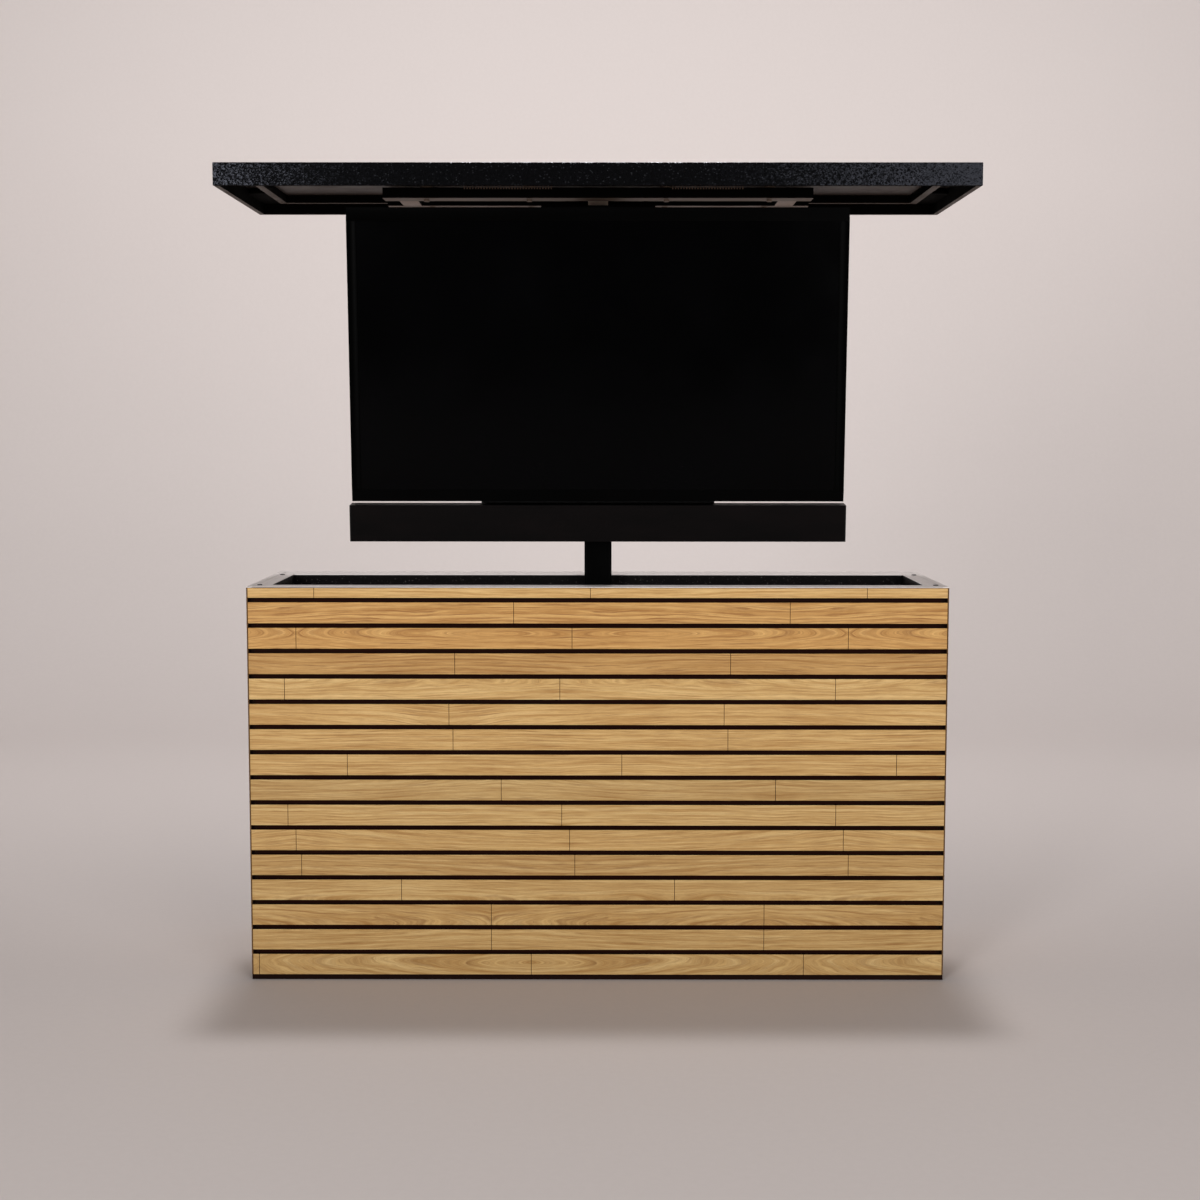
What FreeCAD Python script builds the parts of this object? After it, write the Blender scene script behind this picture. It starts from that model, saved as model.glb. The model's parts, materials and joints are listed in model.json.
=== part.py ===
"""TV lift cabinet: a slatted cabinet with a telescopic column that raises a television and a stone lid.

Units are millimetres and degrees.  The origin is on the floor under the cabinet's centre; +X is to the
right seen from the front, +Y to the rear and +Z up.  The lift stands fully raised.
"""
import FreeCAD
import Part
import os
import re
import Sketcher

# Driving dimensions.  Each one becomes a named cell of the spreadsheet "sizes".
SIZES = {
    # cabinet envelope and cladding
    "cabinet_width": 1600,
    "cabinet_depth": 480,
    "cabinet_height": 914,
    "slat_thickness": 15,
    "slat_height": 48,
    "slat_gap": 10.4,
    "plinth_height": 13,
    "plinth_setback": 2,
    "plinth_clearance": 1,
    "board_length": 630,
    "board_joint": 1,
    "trim_width": 3,
    # cabinet frame
    "pad_height": 3,
    "pad_width": 60,
    "rail_height": 40,
    "side_rim": 32,
    "front_rim": 43,
    "rear_rim": 90,
    "cap_thickness": 1.5,
    "cap_gap": 1,
    "cap_seam": 1.5,
    "infill": 12,
    "floor_thickness": 12,
    "cross_rail_width": 30,
    "cross_rail_spacing": 250,
    # rear wall and access door
    "rear_panel": 12,
    "door_width": 756,
    "door_height": 566,
    "door_bottom": 152,
    "door_gap": 2,
    "stile_width": 30,
    "stile_depth": 24,
    "stile_lap": 8,
    "stile_play": 0.5,
    "vent_length": 240,
    "vent_height": 8,
    "vent_pitch": 24,
    "vent_drop": 141.5,
    "leaf_width": 26,
    "leaf_height": 60,
    "leaf_thickness": 2,
    "knuckle_radius": 4,
    "hinge_pin_radius": 2,
    "hinge_inset": 70,
    "running_play": 0.05,
    "pull_width": 110,
    "pull_inset": 32,
    "pull_reach": 24,
    "pull_bar": 8,
    "gland_x": -600,
    "gland_z": 100,
    "gland_radius": 10,
    "gland_bore": 6,
    "gland_flange": 15,
    # lifting column
    "column_y": 92,
    "stage_travel": 456,
    "column_drop": 84,
    "outer_size": 86,
    "middle_size": 66,
    "inner_size": 50,
    "tube_wall": 4,
    "tube_corner": 5,
    "stage_clearance": 5,
    "stage_step": 8,
    "glide_height": 40,
    "glide_width": 34,
    "glide_play": 0.3,
    "foot_plate_width": 300,
    "foot_plate_depth": 150,
    "foot_plate_thickness": 10,
    "foot_bolt_radius": 5,
    "foot_bolt_head": 8,
    "foot_bolt_depth": 75,
    "bolt_play": 0.3,
    "gearbox_height": 40,
    "motor_radius": 30,
    "motor_height": 130,
    "motor_x": 84,
    "nut_height": 36,
    "screw_radius": 10,
    "screw_overrun": 10,
    "journal_depth": 18,
    "column_rail_size": 40,
    "column_rail_drop": 54,
    "stay_width": 120,
    "stay_gap": 10,
    "control_width": 180,
    "control_depth": 100,
    "control_height": 60,
    "control_x": -330,
    "control_y": 120,
    # lid
    "lid_width": 1700,
    "lid_depth": 580,
    "apron_height": 50,
    "apron_thickness": 12,
    "slab_thickness": 8,
    "slab_chamfer": 1,
    "liner_thickness": 3,
    "seal_width": 18,
    "seal_height": 19,
    "gusset_width": 51,
    "landing_gap": 2,
    "gusset_length": 218,
    "gusset_thickness": 6,
    "gusset_drop": 8,
    "gusset_corner": 20,
    # lid bracket
    "spacer_height": 17,
    "spacer_radius": 14,
    "beam_height": 24,
    "beam_wall": 3,
    "front_beam_length": 1000,
    "front_beam_depth": 60,
    "front_beam_y": -45,
    "rear_beam_length": 1010,
    "rear_beam_depth": 46,
    "rear_beam_y": 102,
    "arm_width": 45,
    "arm_x": 445,
    "centre_arm_width": 48,
    "lid_bolt_x": 400,
    "lid_bolt_inner_x": 160,
    "lid_bolt_radius": 4,
    "lid_bolt_head": 6.5,
    "bolt_head_height": 5,
    "head_plate_width": 274,
    "head_plate_thickness": 12,
    "head_plate_rear": 13,
    # hanging television mount
    "hanger_width": 80,
    "spine_width": 120,
    "spine_depth": 30,
    "spine_wall": 4,
    "spine_gap": 5,
    "spine_length": 540,
    "tilt_drop": 354,
    "tilt_angle": 4.8,
    "pivot_reach": 28,
    "pivot_radius": 6,
    "pivot_head": 9,
    "ear_radius": 12,
    "ear_thickness": 4,
    "ear_gap": 1,
    "yoke_width": 168,
    "yoke_height": 88,
    "tilt_base_height": 120,
    "bracket_plate": 4,
    "crossbar_depth": 6,
    "crossbar_height": 20,
    "crossbar_offset": 30,
    "crossbar_length": 460,
    "vesa_pitch": 400,
    "vesa_rail_width": 32,
    "vesa_rail_depth": 12,
    "vesa_rail_length": 480,
    "vesa_bolt_radius": 4,
    "vesa_bolt_head": 7,
    "vesa_bolt_bite": 15,
    # television
    "tv_width": 1149,
    "tv_height": 674.5,
    "tv_depth": 80,
    "tv_rise": 9.25,
    "tv_wall": 3,
    "bezel_depth": 12,
    "bezel_side": 21.5,
    "bezel_top": 31,
    "bezel_bottom": 27,
    "glass_recess": 2,
    "glass_thickness": 4,
    "display_thickness": 18,
    "standoff_radius": 12,
    "tv_vent_length": 60,
    "tv_vent_height": 4,
    "tv_vent_pitch": 80,
    "tv_vent_drop": 40,
    "tv_vent_row_pitch": 12,
    # soundbar
    "bar_gap": 8,
    "bar_width": 1160,
    "bar_height": 85.5,
    "bar_depth": 50,
    "bar_lead": 12,
    "bar_wall": 3,
    "bar_bracket_width": 556,
    "bar_bracket_thickness": 3,
    "bar_bracket_lap": 24,
    "bar_bracket_inset": 20,
    "bar_boss_width": 40,
    "bar_boss_height": 30,
    "bar_boss_x": 170,
}

# Sizes worked out from the driving ones.
DERIVED = {
    "half_width": "cabinet_width / 2",
    "half_depth": "cabinet_depth / 2",
    "slat_pitch": "slat_height + slat_gap",
    # frame
    "frame_side": "half_width - slat_thickness",
    "frame_front": "slat_thickness - half_depth",
    "frame_rear": "half_depth - rear_panel",
    "well_side": "frame_side - side_rim",
    "well_front": "frame_front + front_rim",
    "well_rear": "frame_rear - rear_rim",
    "post_rear": "frame_rear - front_rim",
    "rail_top": "pad_height + rail_height",
    "floor_top": "rail_top + floor_thickness",
    "rim_bottom": "cabinet_height - rail_height",
    "cap_bottom": "cabinet_height - cap_thickness",
    "slat_top": "cap_bottom - cap_gap",
    "trim_rear": "frame_front + trim_width",
    # access door
    "door_top": "door_bottom + door_height",
    "door_edge": "door_width / 2",
    "door_front": "frame_rear + stile_play",
    "opening_edge": "door_edge + door_gap",
    "stile_inner": "opening_edge - stile_lap",
    "hinge_y": "half_depth + knuckle_radius",
    "leaf_start": "knuckle_radius + stile_play",
    # column
    "outer_half": "outer_size / 2",
    "middle_half": "middle_size / 2",
    "inner_half": "inner_size / 2",
    "plate_top": "floor_top + foot_plate_thickness",
    "gearbox_top": "plate_top + gearbox_height",
    "outer_top": "cabinet_height - column_drop",
    "middle_bottom": "gearbox_top + stage_clearance + stage_travel",
    "middle_top": "outer_top + stage_step + stage_travel",
    "inner_bottom": "middle_bottom + nut_height + stage_clearance + stage_travel",
    "screw_top": "middle_bottom + nut_height + screw_overrun",
    "screw_bottom": "gearbox_top - journal_depth",
    "column_rail_top": "rim_bottom - column_rail_drop",
    # lid, stacked on the seal frame that lands on the cabinet's rim
    "seal_bottom": "cabinet_height + 2 * stage_travel + landing_gap",
    "liner_bottom": "seal_bottom + seal_height",
    "slab_bottom": "liner_bottom + liner_thickness",
    "lid_top": "slab_bottom + slab_thickness",
    "apron_bottom": "lid_top - apron_height",
    "lid_side": "lid_width / 2",
    "lid_front": "-lid_depth / 2",
    "lid_rear": "lid_depth / 2",
    "inside_side": "lid_side - apron_thickness",
    "inside_front": "lid_front + apron_thickness",
    "inside_rear": "lid_rear - apron_thickness",
    "seal_side": "inside_side - gusset_width",
    "seal_front": "inside_front + gusset_width",
    "seal_rear": "inside_rear - gusset_width",
    # lid bracket and hanging mount
    "beam_top": "liner_bottom - spacer_height",
    "beam_bottom": "beam_top - beam_height",
    "beam_middle": "beam_top - beam_height / 2",
    "front_beam_rear": "front_beam_y + front_beam_depth / 2",
    "rear_beam_front": "rear_beam_y - rear_beam_depth / 2",
    "plate_bottom": "beam_bottom - head_plate_thickness",
    "head_front": "column_y - inner_half",
    "hanger_bottom": "middle_top + stage_travel + stage_clearance",
    "spine_rear": "column_y - outer_half - spine_gap",
    "spine_front": "spine_rear - spine_depth",
    "spine_top": "plate_bottom - stage_clearance",
    "pivot_y": "spine_front - pivot_reach",
    "pivot_z": "plate_bottom - tilt_drop",
    # television, measured from the tilt axis before it is leaned
    "yoke_edge": "yoke_width / 2",
    "base_edge": "yoke_edge + ear_gap + ear_thickness",
    "yoke_back": "-ear_radius",
    "crossbar_back": "yoke_back - bracket_plate",
    "rail_back": "crossbar_back - crossbar_depth",
    "tv_back": "rail_back - vesa_rail_depth",
    "tv_front": "tv_back - tv_depth",
    "tv_side": "tv_width / 2",
    "tv_bottom": "tv_rise - tv_height / 2",
    "tv_top": "tv_rise + tv_height / 2",
    "bezel_back": "tv_front + bezel_depth",
    "screen_side": "tv_side - bezel_side",
    "screen_bottom": "tv_bottom + bezel_bottom",
    "screen_top": "tv_top - bezel_top",
    "glass_front": "tv_front + glass_recess",
    "glass_back": "glass_front + glass_thickness",
    "display_back": "glass_back + display_thickness",
    "rail_bottom": "tv_rise - vesa_rail_length / 2",
    "rail_end": "tv_rise + vesa_rail_length / 2",
    "bar_side": "bar_width / 2",
    "bar_top": "tv_bottom - bar_gap",
    "bar_bottom": "bar_top - bar_height",
    "bar_front": "tv_front - bar_lead",
    "bar_back": "bar_front + bar_depth",
    "bar_bracket_bottom": "bar_bottom + bar_bracket_inset",
}

# Counts: slots in the rear door, rows of slots in the television and slat rows to a front panel.
DOOR_VENTS = 6
TV_VENT_ROWS = 4
ROWS_PER_PANEL = 4

# How far the first board reaches from the left end of each row of front slats, top row first.
FIRST_BOARDS = (151, 606, 109, 471, 81, 457, 466, 223, 576, 85, 103, 115, 345, 552, 552, 14)

doc = FreeCAD.newDocument("tv_lift_cabinet")
nodes = []


def make_sheet():
    """Put every driving dimension in a spreadsheet cell with an alias."""
    sheet = doc.addObject("Spreadsheet::Sheet", "sizes")
    for row, (name, number) in enumerate(SIZES.items(), start=1):
        sheet.set("A%d" % row, name)
        sheet.set("B%d" % row, str(number))
        sheet.setAlias("B%d" % row, name)
    doc.recompute()


def formula(text):
    """Write the sheet's names, and the names worked out from them, as an expression reads them."""
    def written(match):
        word = match.group()
        if word in DERIVED:
            return "(" + formula(DERIVED[word]) + ")"
        if word in SIZES:
            return "sizes." + word
        return word
    return re.sub(r"[a-z_]+", written, str(text))


def place(thing, x="0", y="0", z="0"):
    """Bind a piece's place to the sheet."""
    for axis, text in zip("xyz", (x, y, z)):
        thing.setExpression("Placement.Base." + axis, formula(text))


def box(name, x, y, z):
    """A block between two formulas along each axis."""
    block = doc.addObject("Part::Box", name)
    for side, (low, high) in zip(("Length", "Width", "Height"), (x, y, z)):
        block.setExpression(side, formula("(%s) - (%s)" % (high, low)))
    place(block, x[0], y[0], z[0])
    return block


def mirrored_boxes(name, x, y, z):
    """A block on the right and its mirror image on the left."""
    right = box(name + "_right", x, y, z)
    left = box(name + "_left", ("-(%s)" % x[1], "-(%s)" % x[0]), y, z)
    return [right, left]


TURNS = {
    "x": FreeCAD.Rotation(FreeCAD.Vector(0, 1, 0), 90),
    "y": FreeCAD.Rotation(FreeCAD.Vector(1, 0, 0), -90),
    "z": FreeCAD.Rotation(),
}


def rod(name, radius, start, length, axis="z"):
    """A round bar from a start point along +X, +Y or +Z."""
    bar = doc.addObject("Part::Cylinder", name)
    bar.setExpression("Radius", formula(radius))
    bar.setExpression("Height", formula(length))
    bar.Placement.Rotation = TURNS[axis]
    place(bar, *start)
    return bar


def group(name, pieces):
    """Several separate solids held as one thing."""
    whole = doc.addObject("Part::Compound", name)
    whole.Links = pieces
    return whole


def joined(name, pieces):
    """Pieces fused into one solid."""
    whole = doc.addObject("Part::MultiFuse", name)
    whole.Shapes = pieces
    whole.Refine = True
    return whole


def cut(name, piece, tool):
    """A piece with a tool's shape taken out of it."""
    rest = doc.addObject("Part::Cut", name)
    rest.Base = piece
    rest.Tool = tool
    return rest


def node(label, thing):
    """Name a finished sub-part; its label is the name of its file."""
    if isinstance(thing, list):
        thing = group(label, thing)
    thing.Label = label
    nodes.append(thing)
    return thing


def leaned(label, thing):
    """A sub-part drawn about the tilt axis, leaned forward by the tilt angle and hung on that axis."""
    whole = group(label, thing if isinstance(thing, list) else [thing])
    whole.Placement.Rotation = FreeCAD.Rotation(FreeCAD.Vector(1, 0, 0), SIZES["tilt_angle"])
    whole.setExpression("Placement.Rotation.Angle", formula("tilt_angle"))
    place(whole, y="pivot_y", z="pivot_z")
    return node(label, whole)


def sketch_on(body, plane, name):
    """A sketch flat on one of the body's own origin planes."""
    sketch = body.newObject("Sketcher::SketchObject", name)
    for feature in body.Origin.OriginFeatures:
        if feature.Role == plane:
            sketch.AttachmentSupport = [(feature, "")]
    sketch.MapMode = "FlatFace"
    return sketch


def add_rectangle(sketch, width, height, label):
    """A rectangle centred on the sketch's origin, with both sizes bound to the sheet."""
    first = sketch.GeometryCount
    corners = [FreeCAD.Vector(x, y, 0) for x, y in ((-9, -9), (9, -9), (9, 9), (-9, 9))]
    for start, end in zip(corners, corners[1:] + corners[:1]):
        sketch.addGeometry(Part.LineSegment(start, end))
    for side in range(4):
        sketch.addConstraint(Sketcher.Constraint("Coincident", first + side, 2, first + (side + 1) % 4, 1))
    for side, direction in enumerate(("Horizontal", "Vertical", "Horizontal", "Vertical")):
        sketch.addConstraint(Sketcher.Constraint(direction, first + side))
    sketch.addConstraint(Sketcher.Constraint("Symmetric", first, 1, first + 1, 2, -1, 1))
    spans = ((label + "_width", "DistanceX", first, width),
             (label + "_height", "DistanceY", first + 1, height))
    for name, kind, side, text in spans:
        index = sketch.addConstraint(Sketcher.Constraint(kind, side, 1, side, 2, 18.0))
        sketch.renameConstraint(index, name)
        sketch.setExpression("Constraints." + name, formula(text))


def padded(name, plane, rectangles, length, midplane=False):
    """A body padded from centred rectangles: the first is the outline, the next one is hollow."""
    body = doc.addObject("PartDesign::Body", name)
    sketch = sketch_on(body, plane, name + "_outline")
    for number, (width, height) in enumerate(rectangles):
        add_rectangle(sketch, width, height, "side%d" % number)
    pad = body.newObject("PartDesign::Pad", name + "_pad")
    pad.Profile = sketch
    pad.Midplane = midplane
    pad.setExpression("Length", formula(length))
    doc.recompute()
    return body


def edges_where(feature, wanted):
    """Names of a feature's edges whose middle point and direction a test accepts."""
    names = []
    for number, edge in enumerate(feature.Shape.Edges, start=1):
        middle = edge.valueAt((edge.FirstParameter + edge.LastParameter) / 2)
        direction = edge.tangentAt(edge.FirstParameter)
        if wanted(middle, direction):
            names.append("Edge%d" % number)
    return names


def dress(body, kind, size, value, wanted):
    """A fillet or a chamfer on the chosen edges of a body's last feature."""
    last = body.Tip
    feature = body.newObject("PartDesign::" + kind, body.Name + "_" + kind.lower())
    feature.Base = (last, edges_where(last, wanted))
    feature.setExpression(size, formula(value))
    doc.recompute()


def round_uprights(body, radius):
    """Round the outer upright corners of a body padded along Z."""
    bounds = body.Tip.Shape.BoundBox

    def outer_upright(middle, direction):
        at_side = abs(abs(middle.x) - bounds.XMax) < 0.01
        at_front = abs(abs(middle.y) - bounds.YMax) < 0.01
        return abs(direction.z) > 0.99 and at_side and at_front

    dress(body, "Fillet", "Radius", radius, outer_upright)


# ---------------------------------------------------------------- cabinet

def cabinet_frame():
    """Base rails, corner posts, top rim with its cap, and floor pads."""
    side_x = ("well_side", "frame_side")
    frame_y = ("frame_front", "frame_rear")
    inner_x = ("-well_side", "well_side")
    base_z = ("pad_height", "rail_top")
    rails = mirrored_boxes("base_side_rail", side_x, frame_y, base_z)
    rails.append(box("base_front_rail", inner_x, ("frame_front", "well_front"), base_z))
    rails.append(box("base_rear_rail", inner_x, ("post_rear", "frame_rear"), base_z))
    cross_x = ("(cross_rail_spacing - cross_rail_width) / 2", "(cross_rail_spacing + cross_rail_width) / 2")
    cross = group("cross_rails", mirrored_boxes("cross_rail", cross_x, ("well_front", "post_rear"), base_z))
    rails.append(cut("drilled_cross_rails", cross, foot_bolt_holes()))
    node("base_frame", rails)

    posts = mirrored_boxes("front_post", side_x, ("frame_front", "well_front"), ("rail_top", "rim_bottom"))
    posts += mirrored_boxes("rear_post", side_x, ("post_rear", "frame_rear"), ("rail_top", "rim_bottom"))
    node("corner_posts", posts)

    rim_z = ("rim_bottom", "cap_bottom")
    rim = mirrored_boxes("rim_side", side_x, frame_y, rim_z)
    rim.append(box("rim_front", inner_x, ("frame_front", "well_front"), rim_z))
    rim.append(box("rim_rear", inner_x, ("well_rear", "frame_rear"), rim_z))
    node("rim_frame", rim)

    node("rim_cap", cap_sheets())

    pad_x = ("frame_side - pad_width", "frame_side")
    pads = mirrored_boxes("pad_front", pad_x, ("frame_front", "frame_front + pad_width"), ("0", "pad_height"))
    pads += mirrored_boxes("pad_rear", pad_x, ("frame_rear - pad_width", "frame_rear"), ("0", "pad_height"))
    node("floor_pads", pads)


def cap_sheets():
    """Thin sheets on the rim, and edging strips over the cladding with a seam between the two."""
    z = ("cap_bottom", "cabinet_height")
    inner_x = ("-well_side", "well_side")
    sheets = mirrored_boxes("cap_side", ("well_side", "frame_side"), ("frame_front", "frame_rear"), z)
    sheets.append(box("cap_front", inner_x, ("frame_front", "well_front"), z))
    sheets.append(box("cap_rear", inner_x, ("well_rear", "frame_rear"), z))
    seam_side = "frame_side + cap_seam"
    sheets += mirrored_boxes("edging_side", (seam_side, "half_width"), ("-half_depth", "half_depth"), z)
    between = ("-(%s)" % seam_side, seam_side)
    sheets.append(box("edging_front", between, ("-half_depth", "frame_front - cap_seam"), z))
    sheets.append(box("edging_rear", between, ("frame_rear + cap_seam", "half_depth"), z))
    return sheets


def foot_bolt_holes():
    """Four round tools through the foot plate, the floor and the cross rails."""
    if doc.getObject("foot_bolt_holes"):
        return doc.getObject("foot_bolt_holes")
    return group("foot_bolt_holes", foot_bolt_rods("foot_hole", "foot_bolt_radius + bolt_play",
                                                   "0", "plate_top"))


def foot_bolt_rods(name, radius, low, high):
    """Four upright round bars at the corners of the foot plate's bolt rectangle."""
    rods = []
    for side in ("-", ""):
        for end in ("-", "+"):
            start = (side + "cross_rail_spacing / 2", "column_y %s foot_bolt_depth / 2" % end, low)
            rods.append(rod(name, radius, start, "(%s) - (%s)" % (high, low)))
    return rods


def cabinet_boards():
    """Floor board and the dark boards behind the slats."""
    floor = box("floor_blank", ("-well_side", "well_side"), ("frame_front", "frame_rear"),
                ("rail_top", "floor_top"))
    node("floor_board", cut("floor_board", floor, foot_bolt_holes()))
    board_z = ("floor_top", "rim_bottom")
    node("front_board", box("front_board", ("-well_side", "well_side"),
                            ("frame_front", "frame_front + infill"), board_z))
    side_x = ("frame_side - infill", "frame_side")
    node("side_boards", mirrored_boxes("side_board", side_x, ("well_front", "post_rear"),
                                       ("rail_top", "rim_bottom")))


def slat_rows():
    """Lower and upper edge of each row of slats, top row first; the top row takes what height is left."""
    pitch = SIZES["slat_height"] + SIZES["slat_gap"]
    clad_height = SIZES["cabinet_height"] - SIZES["cap_thickness"] - SIZES["cap_gap"] - SIZES["plinth_height"]
    full_rows = int(clad_height / pitch)
    edges = [("plinth_height + %d * slat_pitch" % full_rows, "slat_top")]
    for row in reversed(range(full_rows)):
        bottom = "plinth_height + %d * slat_pitch" % row
        edges.append((bottom, bottom + " + slat_height"))
    return edges


def front_slats():
    """Panels of a few rows each; in a row the boards butt end to end, staggered from row to row."""
    rows = slat_rows()
    for panel, start in enumerate(range(0, len(rows), ROWS_PER_PANEL), start=1):
        boards = []
        for row in range(start, min(start + ROWS_PER_PANEL, len(rows))):
            boards += slat_row(FIRST_BOARDS[row % len(FIRST_BOARDS)], *rows[row])
        node("front_slats_%d" % panel, boards)


def slat_row(first, bottom, top):
    """The boards of one front row, measured from the inner side of the left trim."""
    row_width = SIZES["cabinet_width"] - 2 * SIZES["trim_width"]
    joint_count = int((row_width - first) / SIZES["board_length"]) + 1
    joints = ["%d + %d * board_length" % (first, number) for number in range(joint_count)]
    starts = ["0"] + [joint + " + board_joint / 2" for joint in joints]
    ends = [joint + " - board_joint / 2" for joint in joints] + ["cabinet_width - 2 * trim_width"]
    left = "trim_width - half_width + "
    board_y = ("-half_depth", "frame_front")
    return [box("front_board_strip", (left + start, left + end), board_y, (bottom, top))
            for start, end in zip(starts, ends)]


def side_slats():
    """The same rows on the two ends of the cabinet, one board to a row."""
    right = []
    left = []
    for bottom, top in slat_rows():
        pair = mirrored_boxes("end_board", ("frame_side", "half_width"), ("trim_rear", "frame_rear"),
                              (bottom, top))
        right.append(pair[0])
        left.append(pair[1])
    node("right_slats", right)
    node("left_slats", left)


def edge_trims():
    """Angle bars on the front corners and the set-back plinth strips under the slats."""
    tall_z = ("plinth_height", "cap_bottom")
    outer_legs = mirrored_boxes("trim_outer_leg", ("half_width - trim_width", "half_width"),
                                ("-half_depth", "trim_rear"), tall_z)
    rear_legs = mirrored_boxes("trim_rear_leg", ("frame_side", "half_width"), ("frame_front", "trim_rear"),
                               tall_z)
    trims = [joined("corner_trim", list(legs)) for legs in zip(outer_legs, rear_legs)]
    low_z = ("plinth_clearance", "plinth_height")
    trims.append(box("front_plinth", ("-half_width", "half_width"),
                     ("plinth_setback - half_depth", "frame_front"), low_z))
    trims += mirrored_boxes("side_plinth", ("frame_side", "half_width - plinth_setback"),
                            ("frame_front", "frame_rear"), low_z)
    node("edge_trims", trims)


# ---------------------------------------------------------------- rear wall

def rear_wall():
    """Fixed rear panels round the door opening, the stiles behind them and the cable gland."""
    panel_y = ("frame_rear", "half_depth")
    wide = mirrored_boxes("rear_side_panel", ("opening_edge", "half_width"), panel_y,
                          ("pad_height", "cap_bottom"))
    hole = rod("gland_hole", "gland_radius", ("gland_x", "frame_rear", "gland_z"), "rear_panel", "y")
    wide[1] = cut("drilled_side_panel", wide[1], hole)
    middle_x = ("-opening_edge", "opening_edge")
    wide.append(box("rear_upper_panel", middle_x, panel_y, ("door_top + door_gap", "cap_bottom")))
    wide.append(box("rear_lower_panel", middle_x, panel_y, ("pad_height", "door_bottom - door_gap")))
    node("rear_panels", wide)
    stile_x = ("stile_inner", "stile_inner + stile_width")
    node("rear_stiles", mirrored_boxes("rear_stile", stile_x, ("frame_rear - stile_depth", "frame_rear"),
                                       ("floor_top", "rim_bottom")))

    outside = rod("gland_outside", "gland_flange", ("gland_x", "half_depth", "gland_z"), "rear_panel", "y")
    thread = rod("gland_thread", "gland_radius - running_play", ("gland_x", "frame_rear", "gland_z"),
                 "rear_panel", "y")
    lock_ring = rod("gland_ring", "gland_flange", ("gland_x", "frame_rear - infill / 2", "gland_z"),
                    "infill / 2", "y")
    bore = rod("gland_bore_tool", "gland_bore", ("gland_x", "frame_rear - infill", "gland_z"),
               "2 * rear_panel + 2 * infill", "y")
    node("cable_gland", cut("cable_gland", joined("gland_body", [outside, thread, lock_ring]), bore))


def access_door():
    """The rear door with its vent slots, pull, hinge leaves and pins."""
    door = padded("access_door", "XZ_Plane", [("door_width", "door_height")],
                  "rear_panel - stile_play", midplane=True)
    place(door, y="(door_front + half_depth) / 2", z="door_bottom + door_height / 2")
    slot_sketch = sketch_on(door, "XZ_Plane", "door_vent_outline")
    add_rectangle(slot_sketch, "vent_length", "vent_height", "vent")
    slot_sketch.setExpression("AttachmentOffset.Base.y", formula("door_height / 2 - vent_drop"))
    slot = door.newObject("PartDesign::Pocket", "door_vent")
    slot.Profile = slot_sketch
    slot.Midplane = True
    slot.Type = "ThroughAll"
    row = door.newObject("PartDesign::LinearPattern", "door_vents")
    row.Originals = [slot]
    row.Direction = (slot_sketch, ["V_Axis"])
    row.Reversed = True
    row.Occurrences = DOOR_VENTS
    row.setExpression("Length", formula("%d * vent_pitch" % (DOOR_VENTS - 1)))
    door.Tip = row
    node("access_door", door)

    pull_x = "pull_inset - door_edge"
    middle = "door_bottom + door_height / 2 "
    grip_z = (middle + "- pull_width / 2", middle + "+ pull_width / 2")
    grip = box("pull_grip", (pull_x, pull_x + " + pull_bar"),
               ("half_depth + pull_reach - pull_bar", "half_depth + pull_reach"), grip_z)
    legs = [box("pull_leg", (pull_x, pull_x + " + pull_bar"), ("half_depth", "half_depth + pull_reach"),
                (low, low + " + pull_bar")) for low in (grip_z[0], grip_z[1] + " - pull_bar")]
    node("door_pull", joined("door_pull", [grip] + legs))
    door_hinges()


def door_hinges():
    """Two butt hinges on the right edge: fixed leaves with two knuckles each, door leaves with one."""
    third = "leaf_height / 3"
    fixed_edge = "opening_edge + leaf_start"
    moving_edge = "opening_edge - leaf_start"
    fixed = []
    moving = []
    for name, centre in (("lower", "door_bottom + hinge_inset"), ("upper", "door_top - hinge_inset")):
        low = centre + " - leaf_height / 2"
        fixed.append(hinge_leaf(name + "_fixed", (fixed_edge, fixed_edge + " + leaf_width"),
                                ("opening_edge", fixed_edge), low, ("0", "2 * " + third)))
        moving.append(hinge_leaf(name + "_moving", (moving_edge + " - leaf_width", moving_edge),
                                 (moving_edge, "opening_edge"), low, (third,)))
        fixed.append(rod(name + "_pin", "hinge_pin_radius", ("opening_edge", "hinge_y", low), "leaf_height"))
    node("hinge_frame_leaves", fixed)
    node("hinge_door_leaves", moving)


def hinge_leaf(name, leaf_x, root_x, z_low, knuckle_starts):
    """A flat leaf with knuckles about the hinge pin, clear of the other leaf's knuckles."""
    leaf_y = ("half_depth", "half_depth + leaf_thickness")
    parts = [box(name + "_leaf", leaf_x, leaf_y, (z_low, z_low + " + leaf_height"))]
    for start in knuckle_starts:
        low = "%s + %s + stile_play / 2" % (z_low, start)
        length = "leaf_height / 3 - stile_play"
        parts.append(rod(name + "_knuckle", "knuckle_radius", ("opening_edge", "hinge_y", low), length))
        parts.append(box(name + "_root", root_x, leaf_y, (low, low + " + " + length)))
    hole = rod(name + "_hole", "hinge_pin_radius + running_play", ("opening_edge", "hinge_y", z_low),
               "leaf_height")
    return cut(name, joined(name + "_body", parts), hole)


# ---------------------------------------------------------------- column

def square_tube(name, size, bottom, top):
    """A square tube standing on the column's centre line."""
    inside = "%s - 2 * tube_wall" % size
    tube = padded(name, "XY_Plane", [(size, size), (inside, inside)], "(%s) - (%s)" % (top, bottom))
    round_uprights(tube, "tube_corner")
    place(tube, y="column_y", z=bottom)
    return node(name, tube)


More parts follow.
